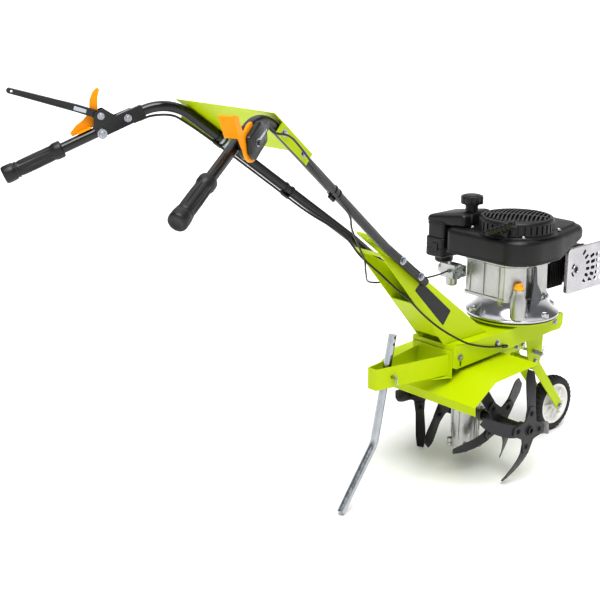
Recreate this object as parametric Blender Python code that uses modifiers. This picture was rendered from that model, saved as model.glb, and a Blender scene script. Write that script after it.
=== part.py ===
"""Walk-behind motor tiller: belt and worm drive to four tine stars, front wheel, drag bar, two handlebars."""

import math

import bmesh
import bpy
from mathutils import Matrix, Vector

# Frame: +X is forward, +Y is the machine's left, +Z is up, and the ground is z = 0. Lengths are in metres.
# The design puts x = 0 on the tine axle, and SHIFT moves the bottom centre of the whole to the origin.
SHIFT = Vector((0.3604, 0.0, 0.0))
GAP = 0.0003

# Tine axle, rotors and gearbox
AXLE_Z = 0.146
AXLE_R = 0.011
AXLE_HALF = 0.194
OUTER_STAR_Y = 0.186
INNER_STAR_Y = 0.090
STAR_T = 0.004
TINE_R = 0.148
BLADE_STEPS = 6
WORM_X = -0.036
COLUMN_X = -0.028
COLUMN_R = 0.036
WHEEL_TEETH = 20
WHEEL_PITCH_R = 0.027
WORM_LEAD = 2.0 * math.pi * WHEEL_PITCH_R / WHEEL_TEETH

# Belt housing and drive
DECK_TOP = 0.376
DECK_HALF = 0.070
CRANK_X = 0.145
BELT_Z = 0.353
DRIVE_GROOVE_R = 0.0175
DRIVEN_GROOVE_R = 0.0375
IDLER_PIVOT = Vector((0.105, -0.052, 0.0))
IDLER_X = 0.055
IDLER_Y = -0.0545

# Engine
RING_TOP = 0.3895
SUMP_R = 0.1225
CASE_TOP = 0.5447
COWL_BOTTOM = 0.545
COWL_TOP = 0.613
RECOIL_R = 0.098
RECOIL_TOP = 0.656

# Handlebars and column
TUBE_R = 0.011
TUBE_LOW = Vector((-0.262, 0.0535, 0.5555))
TUBE_KNEE = Vector((-0.400, 0.0535, 0.6645))
TUBE_APEX = Vector((-0.844, 0.149, 1.015))
TUBE_END = Vector((-1.150, 0.300, 0.869))
GRIP_L = 0.131
COLUMN_HALF = 0.042
SHEET = 0.003

# Front wheel
WHEEL = Vector((0.345, 0.0, 0.080))
FORK_PIVOT = Vector((0.210, 0.0, 0.245))
TYRE_R = 0.080

# Drag bar
DRAG_TIP = Vector((-0.480, 0.0, 0.0061))
DRAG_BEND = Vector((-0.370, 0.0, 0.155))
DRAG_TOP = Vector((-0.3125, 0.0, 0.424))
DRAG_R = 0.010
PIN_Z = 0.325


# ---------------------------------------------------------------- scene and materials
for old in list(bpy.data.objects):
    bpy.data.objects.remove(old, do_unlink=True)
TILLER = bpy.data.collections.new("tiller")
bpy.context.scene.collection.children.link(TILLER)
CUTTERS = bpy.data.collections.new("cutters")
CUTTERS.hide_render = True
bpy.context.scene.collection.children.link(CUTTERS)


def material(name, color, metallic=0.0, roughness=0.5):
    made = bpy.data.materials.new(name)
    made.use_nodes = True
    shader = made.node_tree.nodes["Principled BSDF"]
    shader.inputs["Base Color"].default_value = (*color, 1.0)
    shader.inputs["Metallic"].default_value = metallic
    shader.inputs["Roughness"].default_value = roughness
    return made


LIME = material("lime_paint", (0.47, 0.66, 0.01), 0.0, 0.35)
BLACK_PAINT = material("black_paint", (0.012, 0.012, 0.012), 0.0, 0.25)
GREY_PAINT = material("tine_paint", (0.035, 0.035, 0.038), 0.2, 0.45)
PLASTIC = material("black_plastic", (0.020, 0.020, 0.022), 0.0, 0.45)
RUBBER = material("black_rubber", (0.018, 0.018, 0.018), 0.0, 0.7)
WHITE = material("white_plastic", (0.80, 0.80, 0.78), 0.0, 0.45)
ORANGE = material("orange_plastic", (0.95, 0.38, 0.01), 0.0, 0.4)
CAST = material("cast_aluminium", (0.62, 0.62, 0.62), 1.0, 0.42)
STEEL = material("zinc_steel", (0.60, 0.62, 0.64), 1.0, 0.3)
DARK_STEEL = material("dark_steel", (0.10, 0.10, 0.10), 0.9, 0.4)


def empty(name, place, parent=None, above=Vector((0.0, 0.0, 0.0))):
    made = bpy.data.objects.new(name, None)
    TILLER.objects.link(made)
    made.parent = parent
    made.location = Vector(place) - above
    return made


ROOT = empty("tiller_frame", SHIFT)


# ---------------------------------------------------------------- shape helpers, in design coordinates
def basis(origin, u, v):
    """A matrix whose columns are u, v and their cross product, at origin."""
    u = Vector(u).normalized()
    v = Vector(v).normalized()
    w = u.cross(v).normalized()
    made = Matrix((u, v, w)).transposed().to_4x4()
    made.translation = Vector(origin)
    return made


XY = basis((0, 0, 0), (1, 0, 0), (0, 1, 0))
# Along Y: u is +X, v is +Z, and w is -Y.
XZ = basis((0, 0, 0), (1, 0, 0), (0, 0, 1))
# Along X: u is +Y, v is +Z, and w is +X.
YZ = basis((0, 0, 0), (0, 1, 0), (0, 0, 1))


def at(frame, x=0.0, y=0.0, z=0.0):
    return Matrix.Translation((x, y, z)) @ frame


def prism(outline, low, high, frame=XY):
    """The outline in the frame's u and v, extruded from low to high along its w."""
    bm = bmesh.new()
    corners = [bm.verts.new(frame @ Vector((u, v, low))) for u, v in outline]
    face = bm.faces.new(corners)
    grown = bmesh.ops.extrude_face_region(bm, geom=[face])["geom"]
    tops = [item for item in grown if isinstance(item, bmesh.types.BMVert)]
    bmesh.ops.translate(bm, verts=tops, vec=frame.to_3x3() @ Vector((0, 0, high - low)))
    bmesh.ops.recalc_face_normals(bm, faces=bm.faces)
    return bm


def box(low, high):
    outline = [(low[0], low[1]), (high[0], low[1]), (high[0], high[1]), (low[0], high[1])]
    return prism(outline, low[2], high[2])


def turned(profile, frame=XY, steps=24):
    """The (radius, height) profile spun about the frame's w axis."""
    bm = bmesh.new()
    points = [bm.verts.new((r, 0.0, h)) for r, h in profile]
    edges = [bm.edges.new(pair) for pair in zip(points, points[1:])]
    if profile[0][0] > 0 or profile[-1][0] > 0:
        edges.append(bm.edges.new((points[-1], points[0])))
    bmesh.ops.spin(
        bm,
        geom=points + edges,
        cent=(0, 0, 0),
        axis=(0, 0, 1),
        angle=2.0 * math.pi,
        steps=steps,
        use_merge=True,
    )
    bmesh.ops.remove_doubles(bm, verts=bm.verts, dist=1e-6)
    bmesh.ops.delete(bm, geom=[e for e in bm.edges if not e.link_faces], context="EDGES")
    bmesh.ops.recalc_face_normals(bm, faces=bm.faces)
    bmesh.ops.transform(bm, matrix=frame, verts=bm.verts)
    return bm


def rod(start, end, radius, steps=12):
    """A cylinder between two points. Its facets are turned a little, so that crossing ones share no corner."""
    start = Vector(start)
    end = Vector(end)
    along = end - start
    turn = along.to_track_quat("Z", "Y").to_matrix().to_4x4()
    frame = Matrix.Translation(start) @ turn @ Matrix.Rotation(0.09 + 0.8 * radius, 4, "Z")
    length = along.length
    return turned([(0.0, 0.0), (radius, 0.0), (radius, length), (0.0, length)], frame, steps)


def loft(rings):
    """Closed rings of points joined one after another, with a face at each end."""
    bm = bmesh.new()
    made = [[bm.verts.new(point) for point in ring] for ring in rings]
    count = len(made[0])
    for lower, upper in zip(made, made[1:]):
        for i in range(count):
            j = (i + 1) % count
            bm.faces.new((lower[i], lower[j], upper[j], upper[i]))
    bm.faces.new(made[0])
    bm.faces.new(made[-1])
    bmesh.ops.recalc_face_normals(bm, faces=bm.faces)
    return bm


def rounded(outline, radius, steps=3):
    """A polygon with its corners rounded; radius is one number or one for each corner."""
    points = [Vector(p) for p in outline]
    count = len(points)
    radii = radius if isinstance(radius, (list, tuple)) else [radius] * count
    out = []
    for i, point in enumerate(points):
        before = points[i - 1] - point
        after = points[(i + 1) % count] - point
        if radii[i] <= 0:
            out.append(tuple(point))
            continue
        angle = before.angle(after)
        back = min(radii[i] / math.tan(angle / 2), 0.49 * before.length, 0.49 * after.length)
        first = point + before.normalized() * back
        last = point + after.normalized() * back
        for k in range(steps + 1):
            t = k / steps
            out.append(tuple((1 - t) ** 2 * first + 2 * t * (1 - t) * point + t * t * last))
    return out


def path(points, radii, steps=6):
    """A polyline in space with its inner corners rounded to the given radii."""
    points = [Vector(p) for p in points]
    out = [points[0]]
    for i in range(1, len(points) - 1):
        before = (points[i - 1] - points[i]).normalized()
        after = (points[i + 1] - points[i]).normalized()
        turn = math.pi - before.angle(after)
        back = radii[i - 1] * math.tan(turn / 2)
        centre_way = (before + after).normalized()
        centre = points[i] + centre_way * (radii[i - 1] / math.cos(turn / 2))
        first = points[i] + before * back - centre
        last = points[i] + after * back - centre
        for k in range(steps + 1):
            t = k / steps
            a = math.sin((1 - t) * turn) / math.sin(turn)
            b = math.sin(t * turn) / math.sin(turn)
            out.append(centre + first * a + last * b)
    out.append(points[-1])
    return out


def smooth(points, steps=5):
    """A Catmull-Rom polyline through the points."""
    points = [Vector(p) for p in points]
    padded = [2 * points[0] - points[1], *points, 2 * points[-1] - points[-2]]
    out = []
    for a, b, c, d in zip(padded, padded[1:], padded[2:], padded[3:]):
        for k in range(steps):
            t = k / steps
            out.append(
                0.5 * (2 * b + (c - a) * t + (2 * a - 5 * b + 4 * c - d) * t**2)
                + 0.5 * (3 * b - a - 3 * c + d) * t**3
            )
    out.append(points[-1])
    return out


def mirrored(bm):
    """A copy of the mesh mirrored to the other side of the machine."""
    made = bm.copy()
    bmesh.ops.transform(made, matrix=Matrix.Diagonal((1, -1, 1, 1)), verts=made.verts)
    bmesh.ops.reverse_faces(made, faces=made.faces)
    return made


def to_mesh(name, bm, pivot):
    bmesh.ops.translate(bm, verts=bm.verts, vec=-Vector(pivot))
    mesh = bpy.data.meshes.new(name)
    bm.to_mesh(mesh)
    bm.free()
    mesh.shade_smooth()
    mesh.set_sharp_from_angle(angle=math.radians(32))
    return mesh


def part(name, bm, mat, parent=ROOT, pivot=(0, 0, 0), above=(0, 0, 0), add=(), cut=(), bevel=0.0):
    """One node. pivot is its origin and above its parent's, both in design coordinates."""
    made = bpy.data.objects.new(name, to_mesh(name, bm, pivot))
    TILLER.objects.link(made)
    made.data.materials.append(mat)
    made.parent = parent
    made.location = Vector(pivot) - Vector(above)
    for operation, others in (("UNION", add), ("DIFFERENCE", cut)):
        for number, other in enumerate(others):
            tool_name = f"{name}_{operation.lower()}_{number}"
            tool = bpy.data.objects.new(tool_name, to_mesh(tool_name, other, pivot))
            CUTTERS.objects.link(tool)
            tool.parent = parent
            tool.location = made.location
            tool.hide_render = True
            tool.display_type = "WIRE"
            boolean = made.modifiers.new(tool_name, "BOOLEAN")
            boolean.operation = operation
            boolean.solver = "EXACT"
            boolean.object = tool
    if bevel > 0:
        edge = made.modifiers.new("edge", "BEVEL")
        edge.width = bevel
        edge.segments = 1
        edge.limit_method = "ANGLE"
        edge.angle_limit = math.radians(50)
    return made


def wire(name, points, radius, mat, resolution=2, parent=ROOT):
    """A round cable or tube along the points."""
    curve = bpy.data.curves.new(name, "CURVE")
    curve.dimensions = "3D"
    curve.bevel_depth = radius
    curve.bevel_resolution = resolution
    curve.use_fill_caps = True
    spline = curve.splines.new("POLY")
    spline.points.add(len(points) - 1)
    for item, place in zip(spline.points, points):
        item.co = (*place, 1.0)
    curve.materials.append(mat)
    made = bpy.data.objects.new(name, curve)
    TILLER.objects.link(made)
    made.parent = parent
    return made


# ---------------------------------------------------------------- belt housing
deck_side = [(-0.165, 0.320), (-0.165, DECK_TOP), (0.280, DECK_TOP), (0.280, 0.345)]
deck_side += [(0.270, 0.3345), (0.200, 0.3305), (-0.155, 0.3150)]
deck_inside = [(-0.1625, 0.29), (-0.1625, 0.3735), (0.2775, 0.3735), (0.2775, 0.29)]
part(
    "deck",
    prism(deck_side, -DECK_HALF, DECK_HALF, XZ),
    LIME,
    cut=[
        prism(deck_inside, -DECK_HALF + 0.0025, DECK_HALF - 0.0025, XZ),
        rod((CRANK_X, 0, 0.36), (CRANK_X, 0, 0.39), 0.045, 20),
    ],
)
part(
    "belt_cover",
    box((-0.1615, -0.0670, 0.3312), (0.2765, 0.0670, 0.3342)),
    LIME,
    add=[rod((*IDLER_PIVOT.xy, 0.333), (*IDLER_PIVOT.xy, 0.3440), 0.0045, 12)],
    cut=[rod((WORM_X, 0, 0.32), (WORM_X, 0, 0.34), 0.0105, 20)],
)
ring_profile = [(0.088, 0.3763), (0.098, 0.3763), (0.098, 0.3845), (0.120, 0.3845), (0.120, RING_TOP)]
ring_profile += [(0.070, RING_TOP), (0.070, 0.3855), (0.088, 0.3855)]
part("engine_mount_ring", turned(ring_profile, at(XY, CRANK_X), 28), LIME)

# ---------------------------------------------------------------- handlebar column
column_side = [(-0.408, 0.650), (-0.278, 0.582), (-0.0085, 0.3763), (-0.172, 0.3763)]
edge_down = Vector((-0.278 + 0.0085, 0.582 - 0.3763)).normalized()
edge_in = Vector((-edge_down.y, edge_down.x)) * -1.0
if edge_in.y > 0:
    edge_in = -edge_in
inner_top = Vector((-0.278, 0.582)) + edge_in * SHEET + edge_down * 0.1
inner_low = Vector((-0.0085, 0.3763)) + edge_in * SHEET - edge_down * 0.02
column_inside = [tuple(inner_top), tuple(inner_low), (-0.23, 0.30), (-0.50, 0.62)]
cross_low = Vector((-0.1915, 0.4000))
cross_top = Vector((-0.2780, 0.5000))
cross_out = Vector((-(cross_top - cross_low).y, (cross_top - cross_low).x)).normalized()
cross_plate = [cross_low, cross_top, cross_top - cross_out * SHEET, cross_low - cross_out * SHEET]
tongue_from = Vector((-0.245, 0.5568))
tongue_to = tongue_from + edge_down * 0.226
tongue_frame = basis((tongue_from.x, 0, tongue_from.y), (edge_down.x, 0, edge_down.y), (0, -1, 0))
tongue = rounded([(0, -0.028), (0.226, -0.022), (0.226, 0.022), (0, 0.028)], [0, 0.018, 0.018, 0], 4)
tongue_up = tongue_frame.to_3x3() @ Vector((0, 0, 1))
tongue_side = (0.0, SHEET) if tongue_up.z < 0 else (-SHEET, 0.0)
part(
    "handle_column",
    prism(column_side, -COLUMN_HALF, COLUMN_HALF, XZ),
    LIME,
    add=[
        prism([tuple(p) for p in cross_plate], -0.0400, 0.0400, XZ),
        prism(tongue, *tongue_side, tongue_frame),
    ],
    cut=[
        prism(column_inside, -COLUMN_HALF + SHEET, COLUMN_HALF - SHEET, XZ),
        rod(tongue_frame @ Vector((0.200, 0, -0.01)), tongue_frame @ Vector((0.200, 0, 0.01)), 0.005, 12),
    ],
)
# The column's inside is cleared first, so the cross plate and the tongue join what is left of it.
column = bpy.data.objects["handle_column"]
column.modifiers.move(2, 0)

# ---------------------------------------------------------------- tine guard
GUARD_HALF = 0.175
guard_top = [(0.040, 0.3130), (-0.130, 0.3040), (-0.204, 0.2560), (-0.201, 0.2320)]
guard_low = [(-0.199, 0.2320), (-0.202, 0.2550), (-0.1292, 0.3020), (0.040, 0.3110)]
part(
    "tine_guard",
    prism(guard_top + guard_low, -GUARD_HALF, GUARD_HALF, XZ),
    LIME,
    cut=[rod((COLUMN_X, 0, 0.28), (COLUMN_X, 0, 0.33), 0.0375, 24)],
)

# ---------------------------------------------------------------- drag bar and its bracket
drag_way = (DRAG_TOP - DRAG_BEND).normalized()
pin_on_bar = DRAG_BEND + drag_way * ((PIN_Z - DRAG_BEND.z) / drag_way.z)
PIN_X = pin_on_bar.x
strap_out = [(-0.1660, -0.0520), (-0.2820, -0.0290), (-0.3810, -0.0145)]
strap_in = [(-0.1660, -0.0490), (-0.2815, -0.0260), (-0.3780, -0.0115)]
strap = strap_out + [(x, -y) for x, y in reversed(strap_out)]
strap += [(x, -y) for x, y in strap_in] + list(reversed(strap_in))
part(
    "drag_bracket",
    prism(strap, 0.2980, 0.3520),
    LIME,
    add=[box((-0.1685, -0.0660, 0.2930), (-0.1655, 0.0660, 0.3640))],
    cut=[rod((PIN_X, -0.06, PIN_Z), (PIN_X, 0.06, PIN_Z), 0.0043, 12)],
)
drag_path = path([DRAG_TIP, DRAG_BEND, DRAG_TOP], [0.06], 6)


def swept(points, radius, sides=12, roll=0.0):
    """A solid round bar along the points."""
    rings = []
    for i, point in enumerate(points):
        before = points[max(i - 1, 0)]
        after = points[min(i + 1, len(points) - 1)]
        way = (after - before).normalized()
        side = way.cross(Vector((0.3, 1, 0.2))).normalized()
        other = way.cross(side)
        ring = []
        for k in range(sides):
            angle = roll + 2 * math.pi * k / sides
            ring.append(point + side * (radius * math.cos(angle)) + other * (radius * math.sin(angle)))
        rings.append(ring)
    return loft(rings)


slot_frame = basis(pin_on_bar, drag_way, Vector((0, 1, 0)).cross(drag_way))
slot = rounded([(-0.006, -0.0045), (0.052, -0.0045), (0.052, 0.0045), (-0.006, 0.0045)], 0.0030, 1)
drag_holes = []
for along in (-0.030, 0.078, 0.095):
    spot = pin_on_bar + drag_way * along
    drag_holes.append(rod((spot.x, -0.02, spot.z), (spot.x, 0.02, spot.z), 0.0035, 8))
part(
    "drag_bar",
    swept(drag_path, DRAG_R, 10),
    STEEL,
    pivot=tuple(DRAG_BEND),
    cut=[prism(slot, -0.02, 0.02, slot_frame), *drag_holes],
)
part(
    "drag_pin",
    rod((PIN_X, -0.036, PIN_Z), (PIN_X, 0.032, PIN_Z), 0.0040, 12),
    STEEL,
    add=[rod((PIN_X, 0.0312, PIN_Z), (PIN_X, 0.0362, PIN_Z), 0.0070, 12)],
)

# ---------------------------------------------------------------- gearbox
side_ways = [(1, 1), (1, -1), (-1, 1), (-1, -1)]
lugs = [(COLUMN_X + 0.0275 * a, 0.0275 * b) for a, b in side_ways]
part(
    "gearbox_housing",
    rod((COLUMN_X, 0, 0.0620), (COLUMN_X, 0, 0.3290), COLUMN_R, 24),
    CAST,
    add=[
        rod((0, -0.0200, AXLE_Z), (0, 0.0200, AXLE_Z), 0.0400, 22),
        rod((0, -0.0400, AXLE_Z), (0, 0.0400, AXLE_Z), 0.0190, 16),
        rod((COLUMN_X, 0, 0.3225), (COLUMN_X, 0, 0.3309), 0.0460, 22),
        *[rod((x, y, 0.0630), (x, y, 0.0740), 0.0075, 8) for x, y in lugs],
    ],
    cut=[
        rod((0, -0.06, AXLE_Z), (0, 0.06, AXLE_Z), AXLE_R + GAP, 20),
        rod((0, -0.0095, AXLE_Z), (0, 0.0095, AXLE_Z), 0.0310, 18),
        rod((WORM_X, 0, 0.1000), (WORM_X, 0, 0.2000), 0.0140, 16),
        rod((WORM_X, 0, 0.1900), (WORM_X, 0, 0.3400), 0.0083, 16),
        rod((COLUMN_X + 0.008, 0, 0.05), (COLUMN_X + 0.008, 0, 0.1200), 0.0220, 16),
    ],
)
part(
    "gearbox_bottom_cover",
    rod((COLUMN_X, 0, 0.0545), (COLUMN_X, 0, 0.0617), COLUMN_R, 20),
    CAST,
    add=[rod((x, y, 0.0545), (x, y, 0.0617), 0.0075, 8) for x, y in lugs],
)

TINES = empty("tine_joint", (0, 0, AXLE_Z), ROOT)
TINES_AT = (0, 0, AXLE_Z)
WORM = empty("worm_joint", (WORM_X, 0, AXLE_Z), ROOT)
WORM_AT = (WORM_X, 0, AXLE_Z)
part(
    "tine_axle",
    rod((0, -AXLE_HALF, AXLE_Z), (0, AXLE_HALF, AXLE_Z), AXLE_R, 20),
    DARK_STEEL,
    TINES,
    TINES_AT,
    TINES_AT,
    cut=[rod((0, -0.21, AXLE_Z), (0, 0.21, AXLE_Z), 0.0065, 12)],
)
HELIX = math.atan(WORM_LEAD / (2 * math.pi * 0.009))


def worm_wheel_ring(y):
    turn = y * math.tan(HELIX) / WHEEL_PITCH_R
    ring = []
    for tooth in range(WHEEL_TEETH):
        middle = math.pi + 2 * math.pi * tooth / WHEEL_TEETH
        for half, radius in ((-0.0029, 0.0245), (-0.0010, 0.0290), (0.0010, 0.0290), (0.0029, 0.0245)):
            angle = middle + half / radius + turn
            ring.append(Vector((radius * math.cos(angle), y, AXLE_Z - radius * math.sin(angle))))
    return ring


part(
    "worm_wheel",
    loft([worm_wheel_ring(-0.006), worm_wheel_ring(0.006)]),
    DARK_STEEL,
    TINES,
    TINES_AT,
    TINES_AT,
    cut=[rod((0, -0.03, AXLE_Z), (0, 0.03, AXLE_Z), AXLE_R + GAP, 20)],
)
worm_rings = []
WORM_STEPS = 12
for i in range(-24, 25):
    turn = 2 * math.pi * i / WORM_STEPS
    height = AXLE_Z + WORM_LEAD / 2 + WORM_LEAD * i / WORM_STEPS
    if abs(height - AXLE_Z) > 0.0165:
        continue
    ring = []
    for radius, half in ((0.0055, -0.0028), (0.0110, -0.0010), (0.0110, 0.0010), (0.0055, 0.0028)):
        ring.append(
            Vector((WORM_X + radius * math.cos(turn), radius * math.sin(turn), height + half))
        )
    worm_rings.append(ring)
part(
    "worm_shaft",
    rod((WORM_X, 0, 0.1050), (WORM_X, 0, 0.2100), 0.0066, 12),
    DARK_STEEL,
    WORM,
    WORM_AT,
    WORM_AT,
    add=[loft(worm_rings), rod((WORM_X, 0, 0.2050), (WORM_X, 0, 0.3640), 0.0078, 16)],
)


def pulley(groove, outer, bore):
    """A grooved pulley's profile round the belt's plane."""
    return [
        (bore, BELT_Z - 0.0080),
        (outer, BELT_Z - 0.0080),
        (outer, BELT_Z - 0.0060),
        (groove, BELT_Z - 0.0050),
        (groove, BELT_Z + 0.0050),
        (outer, BELT_Z + 0.0060),
        (outer, BELT_Z + 0.0080),
        (bore, BELT_Z + 0.0080),
    ]


part(
    "driven_pulley",
    turned(pulley(DRIVEN_GROOVE_R, 0.0435, 0.0081), at(XY, WORM_X), 20),
    DARK_STEEL,
    WORM,
    (WORM_X, 0, BELT_Z),
    WORM_AT,
)

# ---------------------------------------------------------------- tine rotors
STAR = [(-45, 0.033), (-26, 0.042), (-9, 0.064), (9, 0.064), (26, 0.042)]


def blade(angle, y, inward):
    """A sickle blade bolted to the star's arm at this angle, curving inward and twisting as it goes out."""
    out = Vector((math.cos(angle), 0, math.sin(angle)))
    lead = Vector((math.sin(angle), 0, -math.cos(angle)))
    side = Vector((0, inward, 0))
    hub = Vector((0, y, AXLE_Z))
    spots = []
    for i in range(BLADE_STEPS + 1):
        radius = 0.030 + (TINE_R - 0.030) * i / BLADE_STEPS
        bend = max(0.0, (radius - 0.056) / (TINE_R - 0.056))
        centre = hub + out * radius + lead * (0.024 * bend**1.8) + side * (0.0035 + 0.036 * bend**1.3)
        twist = math.radians(48) * bend
        across = lead * math.cos(twist) - side * math.sin(twist)
        spots.append((centre, across, 0.034 - 0.010 * bend**3, 0.0042 - 0.0012 * bend))
    rings = []
    for i, (centre, across, width, thick) in enumerate(spots):
        way = (spots[min(i + 1, BLADE_STEPS)][0] - spots[max(i - 1, 0)][0]).normalized()
        across = (across - way * across.dot(way)).normalized()
        normal = way.cross(across).normalized()
        rings.append(
            [
                centre - across * (width / 2) - normal * (thick / 2),
                centre + across * (width / 2) - normal * (thick / 2),
                centre + across * (width / 2) + normal * (thick / 2),
                centre - across * (width / 2) + normal * (thick / 2),
            ]
        )
    return loft(rings)


def rotor(name, y, phase):
    inward = -1.0 if y > 0 else 1.0
    star = []
    for arm in range(4):
        for offset, radius in STAR:
            angle = math.radians(phase + 90 * arm + offset)
            star.append((radius * math.cos(angle), radius * math.sin(angle)))
    blades = [blade(math.radians(phase + 90 * arm), y, inward) for arm in range(4)]
    ends = sorted((y - 0.0035 * inward, y + 0.030 * inward))
    part(
        name,
        prism(star, -STAR_T / 2, STAR_T / 2, at(XZ, 0, y, AXLE_Z)),
        GREY_PAINT,
        TINES,
        (0, y, AXLE_Z),
        TINES_AT,
        add=[rod((0, ends[0], AXLE_Z), (0, ends[1], AXLE_Z), 0.0155, 12), *blades],
        cut=[rod((0, y - 0.05, AXLE_Z), (0, y + 0.05, AXLE_Z), AXLE_R + GAP, 16)],
    )


rotor("rotor_outer_right", -OUTER_STAR_Y, -10)
rotor("rotor_outer_left", OUTER_STAR_Y, -6)
rotor("rotor_inner_right", -INNER_STAR_Y, 35)
rotor("rotor_inner_left", INNER_STAR_Y, 43)

# ---------------------------------------------------------------- front wheel
cheek = rounded(
    [(0.165, 0.3305), (0.240, 0.3305), (0.238, 0.262), (0.228, 0.228), (0.194, 0.228), (0.178, 0.262)],
    [0, 0, 0.01, 0.012, 0.012, 0.01],
    2,
)
part(
    "wheel_bracket",
    box((0.1650, -0.0375, 0.3279), (0.2400, 0.0375, 0.3309)),
    LIME,
    add=[
        prism(cheek, -0.0375, -0.0345, XZ),
        prism(cheek, 0.0345, 0.0375, XZ),
        rod((FORK_PIVOT.x, -0.0425, FORK_PIVOT.z), (FORK_PIVOT.x, 0.0425, FORK_PIVOT.z), 0.0050, 12),
    ],
    cut=[rod((0.2000, -0.05, 0.2750), (0.2000, 0.05, 0.2750), 0.0045, 12)],
)
part(
    "wheel_latch_pin",
    rod((0.2000, -0.0700, 0.2750), (0.2000, 0.0440, 0.2750), 0.0040, 12),
    STEEL,
    add=[rod((0.2000, 0.0430, 0.2750), (0.2000, 0.0480, 0.2750), 0.0075, 12)],
)
FORK = empty("fork_joint", FORK_PIVOT, ROOT)
WHEEL_JOINT = empty("wheel_joint", WHEEL, FORK, FORK_PIVOT)
arm_way = (WHEEL - FORK_PIVOT).normalized()
arm_up = Vector((-arm_way.z, 0, arm_way.x))
arm_long = (WHEEL - FORK_PIVOT).length
arm_frame = basis(FORK_PIVOT, arm_way, arm_up)
arm = rounded(
    [(-0.015, -0.016), (arm_long + 0.012, -0.012), (arm_long + 0.012, 0.012), (-0.015, 0.016)],
    [0.015, 0.012, 0.012, 0.015],
    2,
)
arm_bore = rod(FORK_PIVOT - Vector((0, 0.05, 0)), FORK_PIVOT + Vector((0, 0.05, 0)), 0.0053, 12)
axle_bore = rod(WHEEL - Vector((0, 0.05, 0)), WHEEL + Vector((0, 0.05, 0)), 0.0053, 14)
bridge = [(0.030, 0.0095), (0.070, 0.0080), (0.070, 0.0110), (0.030, 0.0125)]
part(
    "wheel_fork",
    prism(arm, 0.0285, 0.0320, arm_frame),
    LIME,
    FORK,
    tuple(FORK_PIVOT),
    tuple(FORK_PIVOT),
    add=[prism(arm, -0.0320, -0.0285, arm_frame), prism(bridge, -0.0300, 0.0300, arm_frame)],
    cut=[arm_bore, axle_bore],
)
wheel_frame = basis(WHEEL, (0, 0, 1), (1, 0, 0))
part(
    "wheel_axle_bolt",
    rod(WHEEL - Vector((0, 0.0380, 0)), WHEEL + Vector((0, 0.0360, 0)), 0.0050, 14),
    STEEL,
    FORK,
    tuple(WHEEL),
    tuple(FORK_PIVOT),
    add=[rod(WHEEL - Vector((0, 0.0385, 0)), WHEEL - Vector((0, 0.0325, 0)), 0.0085, 6)],
)
tyre_profile = [(0.0585, -0.0165), (0.0640, -0.0195), (0.0720, -0.0195), (0.0780, -0.0145)]
tyre_profile += [(TYRE_R, -0.0060), (TYRE_R, 0.0060)]
tyre_profile += [(0.0780, 0.0145), (0.0720, 0.0195), (0.0640, 0.0195), (0.0585, 0.0165)]
part("tyre", turned(tyre_profile, wheel_frame, 22), RUBBER, WHEEL_JOINT, tuple(WHEEL), tuple(WHEEL))
hub_profile = [(0.0053, -0.0230), (0.0130, -0.0230), (0.0140, -0.0060), (0.0480, -0.0040)]
hub_profile += [(0.0520, -0.0160), (0.0580, -0.0160), (0.0580, 0.0160), (0.0520, 0.0160)]
hub_profile += [(0.0480, 0.0040), (0.0140, 0.0060), (0.0130, 0.0230), (0.0053, 0.0230)]
part("wheel_hub", turned(hub_profile, wheel_frame, 22), WHITE, WHEEL_JOINT, tuple(WHEEL), tuple(WHEEL))

# ---------------------------------------------------------------- engine
CRANK_AT = (CRANK_X, 0, 0.45)
CRANK = empty("crank_joint", CRANK_AT, ROOT)
CRANK_R = 0.0120
sump_profile = [(0.0126, 0.3898), (SUMP_R, 0.3898), (SUMP_R, 0.3950), (0.1120, 0.4030)]
sump_profile += [(0.0960, 0.4180), (0.0900, 0.4400), (0.0840, 0.4400), (0.0860, 0.4180), (0.0980, 0.3980)]
sump_profile += [(0.0220, 0.3960), (0.0220, 0.4200), (0.0126, 0.4200)]
part(
    "engine_sump",
    turned(sump_profile, at(XY, CRANK_X), 20),
    CAST,
    add=[rod((0.0720, -0.0750, 0.4000), (0.0720, -0.0750, 0.4797), 0.0110, 14)],
)
part(
    "crankcase",
    prism(
        rounded(
            [
                (CRANK_X - 0.090, -0.040),
                (CRANK_X - 0.050, -0.080),
                (CRANK_X + 0.060, -0.084),
                (CRANK_X + 0.084, -0.060),
                (CRANK_X + 0.084, 0.060),
                (CRANK_X + 0.060, 0.084),
                (CRANK_X - 0.010, 0.098),
                (CRANK_X - 0.090, 0.098),
            ],
            0.014,
            2,
        ),
        0.4403,
        CASE_TOP,
    ),
    CAST,
    cut=[
        prism([(0.080, -0.060), (0.212, -0.060), (0.212, 0.066), (0.080, 0.066)], 0.43, 0.5300),
        rod((CRANK_X, 0, 0.52), (CRANK_X, 0, 0.56), 0.0126, 20),
        rod((0.0720, -0.0750, 0.43), (0.0720, -0.0750, 0.5600), 0.0155, 14),
    ],
)
part(
    "crankshaft",
    rod((CRANK_X, 0, 0.3390), (CRANK_X, 0, 0.6040), CRANK_R, 20),
    DARK_STEEL,
    CRANK,
    CRANK_AT,
    CRANK_AT,
    add=[rod((CRANK_X, 0, 0.4550), (CRANK_X, 0, 0.5200), 0.0400, 16)],
)
part(
    "drive_pulley",
    turned(pulley(DRIVE_GROOVE_R, 0.0235, CRANK_R + GAP), at(XY, CRANK_X), 18),
    DARK_STEEL,
    CRANK,
    (CRANK_X, 0, BELT_Z),
    CRANK_AT,
)
flywheel_profile = [(CRANK_R + GAP, 0.5600), (0.0780, 0.5600), (0.0780, 0.5800), (CRANK_R + GAP, 0.5800)]
fan = []
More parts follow.
